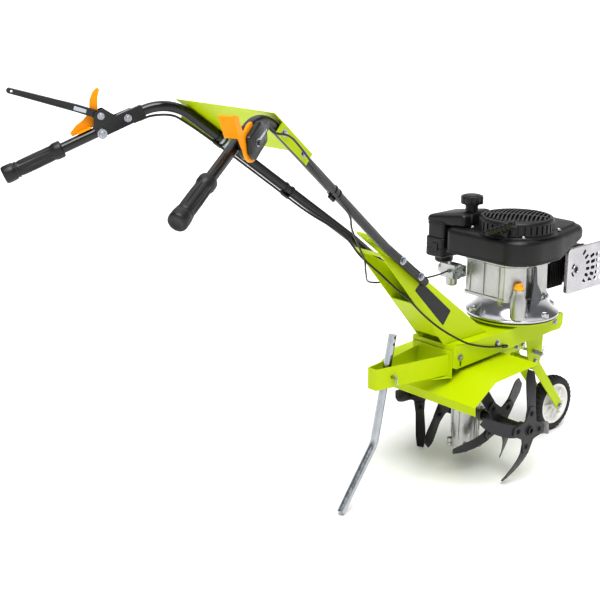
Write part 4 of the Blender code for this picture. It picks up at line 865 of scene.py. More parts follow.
def crankcase():
    outline = rounded(
        [
            (CRANK_X - 0.09, -0.04),
            (CRANK_X - 0.05, -0.08),
            (CRANK_X + 0.04, -0.084),
            (CRANK_X + 0.08, -0.05),
            (CRANK_X + 0.084, 0.06),
            (CRANK_X + 0.06, 0.084),
            (CRANK_X - 0.01, 0.098),
            (CRANK_X - 0.09, 0.098),
        ],
        0.014,
        8,
    )
    taper = [(0.0, 0.4403), (0.0, 0.447), (0.003, 0.449), (0.0045, 0.532), (0.001, 0.535), (0.001, 0.5447)]
    ribs = [box((CRANK_X - 0.02, -0.0845, 0.448), (CRANK_X - 0.0165, -0.07, 0.534))]
    for y in (-0.02, 0.03, 0.076):
        ribs.append(box((CRANK_X - 0.0895, y - 0.0015, 0.448), (CRANK_X - 0.08, y + 0.0015, 0.534)))
    piece(
        "crankcase_shell",
        stacked(outline, taper),
        CAST,
        replaces=["crankcase"],
        add=ribs,
        cut=[rod((*FILLER, 0.43), (*FILLER, 0.56), 0.0152, 40)],
        bevel=0.0008,
    )
    heads = []
    for x, y in ((0.092, -0.074), (0.15, -0.0795), (0.178, -0.08)):
        heads.append(bolt((x, y - 0.006, 0.541), (0, -1, 0), 0.0048))
        heads.append(bolt((x, y - 0.006, 0.446), (0, -1, 0), 0.0048))
    piece("crankcase_bolts", merged(heads), ZINC, bevel=0.0003)
    # A grey gusset beside the filler runs from the top flange down to the sump's edge.
    gusset = [(0.112, 0.536), (0.121, 0.536), (0.127, 0.49), (0.15, 0.456), (0.147, 0.442), (0.114, 0.418)]
    gusset += [(0.097, 0.408), (0.104, 0.445), (0.111, 0.49)]
    piece(
        "filler_gusset", prism(rounded(gusset, 0.004), 0.0885, 0.0925, XZ), GUSSET, bevel=0.0012,
        segments=3,
    )


def cylinder():
    fins = [rod((0.2293, 0, CYLINDER_Z), (0.302, 0, CYLINDER_Z), 0.04, 48)]
    for i in range(8):
        x = 0.236 + 0.0076 * i
        outline = oblong(-0.052, 0.446, 0.052, 0.5425, 0.008, 5)
        fins.append(prism(outline, x, x + 0.0021, YZ))
    cover = oblong(-0.048, 0.45, 0.048, 0.538, 0.008, 5)
    fins.append(prism(cover, 0.2975, 0.31, YZ))
    piece("cylinder_fins", merged(fins), DARK_STEEL, replaces=["cylinder"], bevel=0.0004)
    heads = [bolt((0.31, y, z), (1, 0, 0), 0.0048) for y in (-0.038, 0.038) for z in (0.46, 0.528)]
    piece("cylinder_bolts", merged(heads), ZINC, bevel=0.0003)
    plug = [
        rod((0.3103, 0.033, CYLINDER_Z), (0.348, 0.033, CYLINDER_Z), 0.0075),
        rod((0.34, 0.033, CYLINDER_Z), (0.34, 0.033, 0.52), 0.008),
    ]
    lead = [(0.34, 0.033, 0.515), (0.34, 0.033, 0.535), (0.33, 0.03, 0.548), (0.305, 0.025, 0.556)]
    plug.append(swept(smooth(lead), 0.0032, 16))
    piece("plug_cap", merged(plug), RUBBER, replaces=["spark_plug"], bevel=0.0006)


def silencer():
    outline = oblong(0.318, 0.448, 0.415, 0.54, 0.014, 8)
    body = [prism(outline, -0.015, 0.076, XZ), rod((0.3104, -0.025, 0.48), (0.32, -0.025, 0.48), 0.012)]
    body.append(prism(inset(outline, -0.0025), 0.029, 0.032, XZ))
    piece("silencer_can", merged(body), DARK_STEEL, replaces=["muffler"], bevel=0.002, segments=4)
    out = oblong(0.262, 0.433, 0.436, 0.556, 0.012, 8)
    inside = oblong(0.2632, 0.4342, 0.4348, 0.5548, 0.011, 8)
    hub = Vector((0.3, 0.496))
    slots = [rod((hub.x, -0.1, hub.y), (hub.x, -0.07, hub.y), 0.0085, 32)]
    # Slots fan out from the hub, row behind row, as far as the sheet's edge.
    for row, (near, far, step) in enumerate(
        ((0.046, 0.062, 19), (0.068, 0.086, 13), (0.092, 0.11, 10), (0.116, 0.132, 8))
    ):
        angle = -63.0 + 0.5 * step * (row % 2)
        while angle <= 63.0:
            way = Vector((math.cos(math.radians(angle)), math.sin(math.radians(angle))))
            across = Vector((-way.y, way.x)) * (0.0042 + 0.0003 * row)
            corners = [
                hub + way * near - across, hub + way * far - across, hub + way * far + across,
                hub + way * near + across,
            ]
            if all(0.27 < c.x < 0.428 and 0.441 < c.y < 0.548 for c in corners):
                slots.append(prism(rounded([tuple(c) for c in corners], 0.003, 3), 0.07, 0.1, XZ))
            angle += step
    for start, end in ((115, 165), (195, 245)):
        arc = []
        for radius, order in ((0.015, 1), (0.021, -1)):
            angles = [start + (end - start) * k / 8 for k in range(9)][::order]
            for a in angles:
                arc.append(
                    (
                        hub.x + radius * math.cos(math.radians(a)),
                        hub.y + radius * math.sin(math.radians(a)),
                    )
                )
        slots.append(prism(arc, 0.07, 0.1, XZ))
    piece(
        "silencer_guard",
        prism(out, 0.077, 0.087, XZ),
        GUARD_STEEL,
        cut=[prism(inside, 0.05, 0.0858, XZ), merged(slots)],
        replaces=["muffler_guard"],
        bevel=0.0003,
    )
    rim = ring_of(0.0105, 0.0016, at(XZ, hub.x, -0.0868, hub.y), 40, 8)
    posts = [rod((x, -0.086, z), (x, -0.0763, z), 0.004, 20) for x, z in ((0.335, 0.465), (0.4, 0.52))]
    piece("silencer_guard_posts", merged([rim, *posts]), GUARD_STEEL, bevel=0.0003)
    piece(
        "silencer_outlet", rod((hub.x, -0.085, hub.y), (hub.x, -0.0775, hub.y), 0.0086), DARK_STEEL,
        bevel=0.0006,
    )


def carburettor():
    body = [box((0.023, 0.1, 0.48), (0.053, 0.15, 0.518))]
    bowl = [
        (0.0, 0.458), (0.0125, 0.458), (0.016, 0.462), (0.016, 0.478), (0.0175, 0.48), (0.0175, 0.483),
        (0.0, 0.483),
    ]
    body.append(turned(bowl, at(XY, 0.04, 0.125), 40))
    body.append(rod((0.04, 0.092, 0.5), (0.04, 0.162, 0.5), 0.015))
    body.append(rod((0.03, 0.125, 0.518), (0.03, 0.125, 0.524), 0.005, 20))
    piece("carburettor_body", merged(body), CAST, replaces=["carburettor"], bevel=0.001)
    plate = rounded([(0.002, 0.486), (0.056, 0.486), (0.056, 0.514), (0.03, 0.524), (0.002, 0.508)], 0.004)
    linkage = [prism(plate, -0.09, -0.0884, XZ)]
    coil = []
    for i in range(97):
        angle = 2 * math.pi * i / 12
        coil.append((0.012 + 0.0004 * i, 0.086 + 0.0035 * math.cos(angle), 0.516 + 0.0035 * math.sin(angle)))
    linkage.append(swept(coil, 0.0007, 8))
    linkage.append(
        swept(
            smooth(
                [
                    (0.004, 0.087, 0.496), (0.02, 0.084, 0.486), (0.036, 0.086, 0.494),
                    (0.052, 0.088, 0.505),
                ]
            ),
            0.0012, 8,
        )
    )
    linkage.append(bolt((0.014, 0.0883, 0.5), (0, -1, 0), 0.005, 0.002))
    linkage.append(bolt((0.046, 0.0883, 0.495), (0, -1, 0), 0.0045))
    linkage.append(hexagon((0.016, 0.12, 0.5), (0.0228, 0.12, 0.5), 0.0055))
    piece("governor_linkage", merged(linkage), ZINC, bevel=0.0003)


def air_box():
    outline = oblong(0.048, 0.1658, 0.155, 0.232, 0.014, 8)
    shells = [stacked(outline, ((0.004, 0.52), (0.0, 0.524), (0.0, 0.5445)))]
    shells.append(stacked(outline, ((0.0, 0.5462), (0.0, 0.572), (0.003, 0.5747))))
    shells.append(prism(inset(outline, 0.0012), 0.543, 0.548))
    shells.append(
        turned(
            [(0.0, 0.502), (0.0215, 0.502), (0.025, 0.506), (0.025, 0.53), (0.0, 0.53)],
            at(XY, 0.09, 0.198), 48,
        )
    )
    shells.append(box((0.0455, 0.185, 0.538), (0.05, 0.205, 0.56)))
    piece("air_box_shell", merged(shells), PLASTIC, replaces=["air_filter_box"], bevel=0.0012, segments=3)


COWL = [(0.035, -0.06), (0.058, -0.092), (0.1, -0.109), (0.19, -0.109), (0.33, -0.081), (0.352, -0.06)]
COWL += [(0.358, 0.062), (0.34, 0.09), (0.232, 0.122), (0.18, 0.165), (0.062, 0.165), (0.035, 0.138)]


def cowl():
    outline = rounded(COWL, [0.06, 0.1, 0.2, 0.22, 0.07, 0.03, 0.03, 0.03, 0.05, 0.04, 0.02, 0.02], 10)
    steps = [
        (0.0, 0.545), (0.0, 0.5965), (0.0012, 0.6015), (0.004, 0.606), (0.0085, 0.6095), (0.015, 0.612),
        (0.023, 0.613),
    ]
    piece(
        "cowl_shell",
        stacked(outline, steps),
        PLASTIC,
        replaces=["cowl"],
        cut=[
            stacked(outline, ((0.0028, 0.53), (0.0028, 0.5965), (0.014, 0.6095))),
            rod((CRANK_X, 0, 0.6), (CRANK_X, 0, 0.63), 0.09, 96),
            prism([(0.2, 0.53), (0.2, 0.546), (0.4, 0.602), (0.4, 0.53)], -0.2, 0.2, XZ),
        ],
        bevel=0.001,
        angle=38,
    )
    # A raised step runs round the recoil cover, and reaches forward over the cylinder.
    lobe = [(0.205, -0.086), (0.322, -0.062), (0.336, -0.046), (0.34, 0.05), (0.326, 0.07), (0.205, 0.098)]
    lobe_steps = ((0.0, 0.611), (0.0, 0.615), (0.002, 0.6172), (0.005, 0.618))
    shapes = [stacked(rounded(lobe, 0.016, 5), lobe_steps)]
    disc = [(0.086, 0.61), (0.1085, 0.61), (0.106, 0.615), (0.1, 0.6162), (0.086, 0.6162)]
    shapes.append(turned(disc, at(XY, CRANK_X), 128))
    piece("cowl_step", merged(shapes), PLASTIC, bevel=0.0008, angle=38)
    rim = stacked(outline, ((-0.0012, 0.547), (-0.0012, 0.5505), (0.001, 0.5515)))
    rim_inside = stacked(outline, ((0.001, 0.54), (0.001, 0.56)))
    piece(
        "cowl_rim", rim, PLASTIC, cut=[rim_inside, box((0.196, -0.2, 0.53), (0.4, 0.2, 0.57))],
        bevel=0.0005,
    )
    heads = []
    for x, y in ((0.078, 0.092), (0.078, -0.076), (0.222, -0.078), (0.218, 0.084)):
        heads.append(bolt((x, y, 0.6146), (0, 0, 1), 0.0052))
    piece("cowl_bolts", merged(heads), ZINC, bevel=0.0003)


def recoil():
    radius = 0.098
    profile = [
        (0.086, 0.6133), (radius, 0.6133), (radius, 0.643), (0.0968, 0.6475), (0.094, 0.6512),
        (0.0895, 0.653),
    ]
    profile += [(0.085, 0.653), (0.084, 0.646), (0.06, 0.6475), (0.0, 0.649)]
    profile += [(0.0, 0.62), (0.0072, 0.62), (0.0072, 0.644), (0.06, 0.6435), (0.088, 0.643), (0.0915, 0.64)]
    profile += [(0.0915, 0.616), (0.086, 0.616)]
    slots = []
    count = 36
    for i in range(count):
        angle = 2 * math.pi * i / count
        radial = basis((CRANK_X, 0, 0), (math.cos(angle), math.sin(angle), 0), (0, 0, 1))
        slots.append(prism(oblong(0.0935, 0.62, 0.102, 0.642, 0.001), -0.003, 0.003, radial))
    piece("recoil_dome", turned(profile, at(XY, CRANK_X), 144), PLASTIC, replaces=["recoil_cover"],
          cut=[merged(slots)], bevel=0.0006, angle=36)
    ribs = []
    lean = math.radians(28)
    u = Vector((math.cos(lean), math.sin(lean), 0))
    v = Vector((-math.sin(lean), math.cos(lean), 0))
    for k in range(-7, 8):
        offset = 0.0108 * k
        half = math.sqrt(max(0.0, 0.0845**2 - offset**2))
        rings = []
        for i in range(17):
            along = -half + 2 * half * i / 16
            bow = offset + 0.008 * (1.0 - (along / 0.0845) ** 2) - 0.008
            reach = math.hypot(along, bow)
            top = 0.6575 - 0.0035 * (reach / 0.0845) ** 2
            centre = Vector((CRANK_X, 0, 0)) + u * along + v * bow
            ring = []
            for a, b in (
                (-0.0026, 0.645), (0.0026, 0.645), (0.0024, top - 0.0008), (0.0014, top),
                (-0.0014, top), (-0.0024, top - 0.0008),
            ):
                ring.append(Vector((centre.x, centre.y, 0)) + v * a + Vector((0, 0, b)))
            rings.append(ring)
        ribs.append(loft(rings))
    cross = []
    for i in range(17):
        along = -0.083 + 0.166 * i / 16
        top = 0.657 - 0.0035 * (along / 0.0845) ** 2
        centre = Vector((CRANK_X, 0, 0)) + v * along
        cross.append(
            [
                centre + u * a + Vector((0, 0, b))
                for a, b in ((-0.004, 0.645), (0.004, 0.645), (0.0035, top), (-0.0035, top))
            ]
        )
    ribs.append(loft(cross))
    piece("recoil_ribs", merged(ribs), PLASTIC, bevel=0.0004, angle=36)


ROPE_Y = -0.0386
ROPE_Z = 0.632


def starter():
    way = Vector((0.2, -0.8, 0.36)).normalized()
    middle = Vector((0.0345, ROPE_Y, 0.64))
    turn = Matrix.Translation(middle) @ way.to_track_quat("Z", "Y").to_matrix().to_4x4()
    profile = [
        (0.0, -0.043), (0.006, -0.0428), (0.009, -0.041), (0.0105, -0.038), (0.01, -0.03),
        (0.0092, -0.015),
    ]
    profile += [
        (0.009, 0.0), (0.0092, 0.015), (0.01, 0.03), (0.0105, 0.038), (0.009, 0.041), (0.006, 0.0428),
        (0.0, 0.043),
    ]
    shapes = [turned(profile, turn, 40), rod((0.034, ROPE_Y, ROPE_Z), (0.048, ROPE_Y, ROPE_Z), 0.006)]
    for i in range(5):
        shapes.append(ring_of(0.0094, 0.0011, turn @ Matrix.Translation((0, 0, -0.024 + 0.012 * i)), 40, 8))
    piece("starter_handle", merged(shapes), GLOSS_PLASTIC, "starter", ["starter_grip"], bevel=0.0)
    guide = rounded([(0.048, 0.6135), (0.064, 0.6135), (0.064, 0.642), (0.056, 0.647), (0.048, 0.642)], 0.003)
    piece("rope_guide", prism(guide, 0.03, 0.047, XZ), DARK_STEEL,
          cut=[rod((0.03, ROPE_Y, ROPE_Z), (0.08, ROPE_Y, ROPE_Z), 0.004)], bevel=0.001)


TANK = [(0.058, 0.106), (0.082, 0.1), (0.1, 0.112), (0.13, 0.112), (0.184, 0.114), (0.184, 0.17)]
TANK += [(0.172, 0.226), (0.16, 0.234), (0.06, 0.234), (0.05, 0.224)]


def tank():
    outline = rounded(TANK, 0.014, 5)

    def ring(distance, height):
        points = []
        for x, y in inset(outline, distance):
            fall = 0.0 if height < 0.62 else 0.016 * min(1.0, max(0.0, (y - 0.12) / 0.11))
            points.append(Vector((x, y, height - fall)))
        return points

    lid = [
        ring(d, z)
        for d, z in (
            (0.002, 0.6138), (0.0, 0.6175), (0.0, 0.6199), (0.0, 0.639), (0.0012, 0.6425),
            (0.004, 0.6455), (0.009, 0.6478), (0.016, 0.649),
        )
    ]
    side = [(0.05, 0.166), (0.17, 0.166), (0.17, 0.22), (0.16, 0.23), (0.06, 0.23), (0.05, 0.22)]
    neck = [(0.0, 0.64), (0.0185, 0.64), (0.017, 0.65), (0.017, 0.6627), (0.0, 0.6627)]
    shapes = [loft(lid), prism(rounded(side, 0.01, 5), 0.5755, 0.618), turned(neck, at(XY, *TANK_NECK), 48)]
    shapes.append(prism(inset(rounded(side, 0.01, 5), -0.002), 0.609, 0.6128))
    piece("tank_shell", merged(shapes), PLASTIC, replaces=["fuel_tank"], bevel=0.0014, segments=3, angle=40)
    cap = []
    for level, size in ((0.667, 0.975), (0.6685, 1.0), (0.685, 1.0), (0.6875, 0.96), (0.6885, 0.88)):
        row = []
        for i in range(96):
            angle = 2 * math.pi * i / 96
            lobe = 0.0305 - 0.0022 * (0.5 + 0.5 * math.cos(8 * angle)) ** 3
            reach, (x, y) = size * lobe, TANK_NECK
            row.append(Vector((x + reach * math.cos(angle), y + reach * math.sin(angle), level)))
        cap.append(row)
    shapes = [loft(cap), rod((*TANK_NECK, 0.663), (*TANK_NECK, 0.668), 0.02)]
    shapes.append(
        turned(
            [(0.0, 0.687), (0.0235, 0.687), (0.0225, 0.6902), (0.0195, 0.691), (0.0, 0.6906)],
            at(XY, *TANK_NECK), 48,
        )
    )
    piece("fuel_lid", merged(shapes), PLASTIC, "fuel_lid", ["fuel_cap"], bevel=0.0005, angle=40)
    cap = [rod((*FILLER, 0.48), (*FILLER, 0.488), 0.013)]
    wing = oblong(0.0595, 0.487, 0.0845, 0.496, 0.004, 5)
    cap.append(prism(wing, 0.0722, 0.0778, XZ))
    cap.append(turned([(0.0, 0.487), (0.01, 0.487), (0.008, 0.4905), (0.0, 0.4912)], at(XY, *FILLER), 32))
    piece("oil_lid", merged(cap), YELLOW, "oil_lid", ["oil_cap"], bevel=0.001, segments=3)


# ---------------------------------------------------------------- handlebars, grips and brace
BAR_WAY = (TUBE_END - TUBE_APEX).normalized()
LOW_WAY = (TUBE_KNEE - TUBE_APEX).normalized()
FLAT_WAY = Vector((LOW_WAY.x, 0, LOW_WAY.z)).normalized()
FRONT_WAY = Vector((-FLAT_WAY.z, 0, FLAT_WAY.x))
if FRONT_WAY.z < 0:
    FRONT_WAY = -FRONT_WAY


def grip_shape():
    """A grip with a collar, long flutes and a flat end. Its mouth is at the origin and its end along +Z."""
    profile = [
        (0.0, 0.015), (0.0012, 0.017), (0.004, 0.018), (0.015, 0.018), (0.0185, 0.0172), (0.023, 0.0156),
    ]
    profile += [
        (0.028, 0.0158), (0.06, 0.0163), (0.092, 0.016), (0.096, 0.0152), (0.0985, 0.0152),
        (0.1, 0.0172),
    ]
    profile += [
        (0.102, 0.0172), (0.1035, 0.016), (0.105, 0.016), (0.1065, 0.018), (0.115, 0.0186),
        (0.126, 0.0186),
    ]
    profile += [(0.1295, 0.0178), (0.1312, 0.016), (0.1316, 0.01), (0.1305, 0.009), (0.1305, 0.003)]
    rings = []
    sides = 96
    for height, radius in profile:
        ring = []
        for k in range(sides):
            angle = 2 * math.pi * k / sides
            flute = 0.0
            if 0.026 < height < 0.094:
                flute = 0.0019 * min(1.0, 2.2 * max(0.0, math.cos(10 * angle)))
            ring.append(
                Vector(((radius - flute) * math.cos(angle), (radius - flute) * math.sin(angle), height))
            )
        rings.append(ring)
    return loft(rings)


def handlebars():
    points = path([TUBE_LOW, TUBE_KNEE, TUBE_APEX, TUBE_END - BAR_WAY * 0.004], [0.1, 0.1], 20)
    for side, name in ((1, "left"), (-1, "right")):
        tube = swept(points, TUBE_R, 40)
        grip = grip_shape()
        start = TUBE_END - BAR_WAY * GRIP_L
        bmesh.ops.transform(grip, matrix=line_frame(start, TUBE_END), verts=grip.verts)
        if side < 0:
            tube = mirrored(tube)
            grip = mirrored(grip)
        piece("tube_" + name, tube, BLACK_PAINT, replaces=["handlebar_" + name], bevel=0.0008, angle=50)
        piece("handgrip_" + name, grip, RUBBER, replaces=["grip_" + name], bevel=0.0, angle=60)


def brace():
    carried("brace_plate", LIME, 0.0007)
    heads = []
    for along in (0.05, 0.128):
        for side in (-1, 1):
            spot = TUBE_APEX + LOW_WAY * (0.024 + along / abs(LOW_WAY.dot(FLAT_WAY)))
            outer = Vector((spot.x, side * (spot.y + TUBE_R + 0.0045), spot.z))
            heads.append(bolt(outer, (0, side, 0), 0.005, 0.002))
    piece("brace_bolts", merged(heads), ZINC, bevel=0.0003)


# ---------------------------------------------------------------- controls
HAND_OUT = Vector((BAR_WAY.x, BAR_WAY.y, 0)).normalized()
LEFT_IN = Vector((HAND_OUT.y, -HAND_OUT.x, 0))
if LEFT_IN.y > 0:
    LEFT_IN = -LEFT_IN
LEFT_UP = BAR_WAY.cross(LEFT_IN)
if LEFT_UP.z < 0:
    LEFT_UP = -LEFT_UP
RIGHT_OUT = Vector((-LEFT_IN.x, LEFT_IN.y, 0))
RIGHT_WAY = Vector((BAR_WAY.x, -BAR_WAY.y, BAR_WAY.z))
RIGHT_UP = Vector((LEFT_UP.x, -LEFT_UP.y, LEFT_UP.z))
RIGHT_APEX = Vector((TUBE_APEX.x, -TUBE_APEX.y, TUBE_APEX.z))


def left_at(along, up, side=0.0):
    """A point beside the left handle: along it from the bend, up from its axis, and inboard."""
    return TUBE_APEX + BAR_WAY * along + LEFT_UP * up + LEFT_IN * side


def right_at(along, up, side=0.0):
    """A point beside the right handle: along it from the bend, up from its axis, and outboard."""
    return RIGHT_APEX + RIGHT_WAY * along + RIGHT_UP * up + RIGHT_OUT * side


LEFT_FRAME = Matrix((BAR_WAY, LEFT_UP, LEFT_IN)).transposed().to_4x4()
LEFT_FRAME.translation = TUBE_APEX
RIGHT_FRAME = Matrix((RIGHT_WAY, RIGHT_UP, RIGHT_OUT)).transposed().to_4x4()
RIGHT_FRAME.translation = RIGHT_APEX


def clutch():
    cheek = [
        (0.078, -0.013), (0.164, -0.013), (0.166, 0.012), (0.152, 0.04), (0.132, 0.04), (0.116, 0.016),
        (0.078, 0.015),
    ]
    cheek = rounded(cheek, 0.005, 6)
    saddle = [(0.08, 0.0118), (0.112, 0.0118), (0.112, 0.015), (0.08, 0.015)]
    shapes = [
        prism(cheek, 0.0118, 0.014, LEFT_FRAME), prism(cheek, -0.014, -0.0118, LEFT_FRAME),
        prism(saddle, -0.013, 0.013, LEFT_FRAME),
    ]
    piece("clutch_cheeks", merged(shapes), BLACK_PAINT, replaces=["clutch_bracket"], bevel=0.0006)
    screws = [
        bolt(left_at(0.142, 0.028, 0.014), LEFT_IN, 0.0048),
        bolt(left_at(0.094, 0.001, 0.014), LEFT_IN, 0.0052),
    ]
    screws.append(bolt(left_at(0.155, -0.006, 0.014), LEFT_IN, 0.0066))
    screws.append(bolt(left_at(0.142, 0.028, -0.014), -LEFT_IN, 0.0048))
    screws.append(bolt(left_at(0.094, 0.001, -0.014), -LEFT_IN, 0.0052))
    screws.append(rod(left_at(0.142, 0.028, -0.0165), left_at(0.142, 0.028, 0.0165), 0.003, 20))
    piece("clutch_screws", merged(screws), ZINC, bevel=0.0003)
    clamp = oblong(0.058, -0.0145, 0.088, 0.015, 0.004, 5)
    piece("clutch_clamp", prism(clamp, 0.003, 0.0148, LEFT_FRAME), BLACK_PAINT, bevel=0.001)
    way = Vector((math.cos(math.radians(40.5)), math.sin(math.radians(40.5))))
    root = Vector((0.142, 0.028))
    tip = root + way * 0.188
    side = Vector((-way.y, way.x))
    outline = [
        root - way * 0.01 - side * 0.006,
        root + way * 0.006 - side * 0.0075,
        root + way * 0.05 - side * 0.006,
        tip - side * 0.0055,
        tip + way * 0.004 - side * 0.003,
        tip + way * 0.004 + side * 0.003,
        tip + side * 0.0055,
        root + way * 0.05 + side * 0.0095,
        root + way * 0.006 + side * 0.0085,
        root - way * 0.01 + side * 0.006,
    ]
    outline = rounded([tuple(p) for p in outline], 0.004, 5)
    hole = tip - way * 0.006
    groove = [
        root + way * 0.07 - side * 0.0018, tip - way * 0.024 - side * 0.0014,
        tip - way * 0.024 + side * 0.0014, root + way * 0.07 + side * 0.0034,
    ]
    cuts = [
        rod(left_at(*hole, -0.03), left_at(*hole, 0.03), 0.0025, 24),
        prism(rounded([tuple(p) for p in groove], 0.001), 0.0066, 0.02, LEFT_FRAME),
    ]
    piece(
        "lever_blade", prism(outline, -0.003, 0.008, LEFT_FRAME), BLACK_PAINT, "clutch_handle",
        ["clutch_lever"], cut=cuts, bevel=0.0012, segments=3,
    )
    insert = [
        root + way * 0.03 - side * 0.003, root + way * 0.056 - side * 0.003,
        root + way * 0.056 + side * 0.0055, root + way * 0.03 + side * 0.0045,
    ]
    piece(
        "lever_insert", prism(rounded([tuple(p) for p in insert], 0.002), 0.0078, 0.0092, LEFT_FRAME),
        LABEL, "clutch_handle", bevel=0.0003,
    )
    lock = [(0.152, 0.0122), (0.212, 0.0122), (0.2135, 0.02), (0.196, 0.029), (0.178, 0.033), (0.163, 0.04)]
    lock += [(0.155, 0.05), (0.148, 0.064), (0.136, 0.076), (0.124, 0.081), (0.12, 0.076), (0.13, 0.064)]
    lock += [(0.138, 0.048), (0.146, 0.028)]
    lock = rounded(lock, 0.004, 5)
    foot = [(0.17, 0.0122), (0.2, 0.0122), (0.2, 0.016), (0.17, 0.016)]
    shapes = [prism(lock, -0.0095, -0.0045, LEFT_FRAME), prism(foot, -0.0095, 0.0085, LEFT_FRAME)]
    for i in range(4):
        along = 0.173 + 0.0085 * i
        shapes.append(
            prism(
                [(along, 0.015), (along + 0.0035, 0.015), (along + 0.0035, 0.0172), (along, 0.0172)],
                -0.0095, 0.0078, LEFT_FRAME,
            )
        )
    piece("lock_hook", merged(shapes), ORANGE, "clutch_latch", ["clutch_lock"], bevel=0.0008)


THROTTLE_MID = (0.102, -0.004)


def throttle():
    middle = RIGHT_FRAME @ Matrix.Translation((*THROTTLE_MID, 0.0))
    shell = [(0.0, 0.0115), (0.0325, 0.0115), (0.033, 0.0122), (0.033, 0.0185), (0.0315, 0.02), (0.0, 0.02)]
    nose = rounded([(0.056, -0.014), (0.096, -0.032), (0.096, 0.024), (0.056, 0.006)], 0.004, 5)
    shapes = [turned(shell, middle, 72), prism(nose, 0.0118, 0.02, RIGHT_FRAME)]
    shapes.append(rod(right_at(*THROTTLE_MID, 0.019), right_at(*THROTTLE_MID, 0.042), 0.005))
    piece("throttle_case", merged(shapes), GLOSS_PLASTIC, replaces=["throttle_housing"], bevel=0.0008)
    cover = rounded(
        [
            (0.058, -0.028), (0.118, -0.033), (0.131, -0.012), (0.126, 0.02), (0.072, 0.024),
            (0.05, 0.004),
        ],
        0.007, 5,
    )
    steps = ((0.0, 0.0262), (0.0, 0.032), (0.0015, 0.0345), (0.006, 0.0365))
    lid = loft([[right_at(u, v, w) for u, v in inset(cover, d)] for d, w in steps])
    arm = rounded([(0.036, -0.01), (0.07, -0.016), (0.07, 0.01), (0.036, 0.004)], 0.004, 5)
    piece(
        "throttle_cover", merged([lid, prism(arm, 0.0262, 0.033, RIGHT_FRAME)]), GLOSS_PLASTIC,
        bevel=0.0008,
    )
    strip = rounded([(0.066, -0.006), (0.11, -0.007), (0.11, 0.0), (0.066, 0.001)], 0.002)
    silver = [
        prism(strip, 0.0362, 0.0372, RIGHT_FRAME),
        bolt(right_at(*THROTTLE_MID, 0.0366), RIGHT_OUT, 0.0052),
    ]
    silver.append(bolt(right_at(0.06, -0.003, 0.033), RIGHT_OUT, 0.0034))
    piece("throttle_screws", merged(silver), ZINC, bevel=0.0003)
    disc = [
        (0.0053, 0.0206), (0.036, 0.0206), (0.037, 0.0214), (0.037, 0.0248), (0.036, 0.0256),
        (0.0053, 0.0256),
    ]
    behind = [(0.05, -0.05), (0.088, -0.05), (0.088, 0.05), (0.05, 0.05)]
    paddle = rounded(
        [
            (0.128, 0.004), (0.1385, 0.0), (0.146, 0.03), (0.152, 0.07), (0.146, 0.078), (0.134, 0.068),
            (0.13, 0.036), (0.112, 0.026),
        ],
        0.006, 6,
    )
    thumb = rounded([(0.143, 0.028), (0.148, 0.03), (0.154, 0.078), (0.149, 0.079)], 0.002, 4)
    piece(
        "throttle_paddle",
        turned(disc, middle, 96),
        ORANGE,
        "throttle",
        ["throttle_lever"],
        add=[prism(paddle, 0.0206, 0.0256, RIGHT_FRAME), prism(thumb, -0.004, 0.0256, RIGHT_FRAME)],
        cut=[prism(behind, 0.019, 0.034, RIGHT_FRAME)],
        bevel=0.0012,
        segments=3,
    )


# ---------------------------------------------------------------- cables and small trim on the tubes
CLUTCH_ROUTE = [
    left_at(0.073, -0.015, 0.0),
    left_at(0.045, -0.018, 0.0),
    TUBE_APEX + Vector((0.003, -0.004, -0.0345)),
    TUBE_APEX + LOW_WAY * 0.06 - FRONT_WAY * 0.0185,
    TUBE_APEX + LOW_WAY * 0.15 - FRONT_WAY * 0.016 + Vector((0, -0.003, 0)),
    TUBE_APEX + LOW_WAY * 0.3 - FRONT_WAY * 0.0165 + Vector((0, -0.006, 0)),
    TUBE_APEX + LOW_WAY * 0.42 - FRONT_WAY * 0.0165 + Vector((0, -0.008, 0)),
    (-0.449, 0.036, 0.686),
    (-0.405, 0.021, 0.63),
    (-0.362, -0.002, 0.584),
    (-0.337, -0.033, 0.548),
    (-0.314, -0.05, 0.523),
    (-0.26, -0.05, 0.474),
    (-0.21, -0.056, 0.433),
    (-0.162, -0.068, 0.4),
    (-0.116, -0.076, 0.375),
    (-0.046, -0.077, 0.352),
    (0.015, -0.0765, 0.34),
]
THROTTLE_ROUTE = [
    right_at(0.053, -0.003, 0.022),
    right_at(0.038, -0.002, 0.026),
    (-0.845, -0.19, 0.98),
    (-0.8, -0.182, 0.968),
    (-0.758, -0.169, 0.939),
    (-0.691, -0.15, 0.878),
    (-0.63, -0.128, 0.826),
    (-0.561, -0.101, 0.769),
    (-0.532, -0.08, 0.73),
    (-0.483, -0.05, 0.682),
    (-0.438, -0.026, 0.634),
    (-0.395, 0.012, 0.588),
    (-0.33, 0.062, 0.545),
    (-0.22, 0.078, 0.525),
    (-0.111, 0.084, 0.512),
    (-0.03, 0.108, 0.502),
    (0.019, 0.122, 0.5),
]


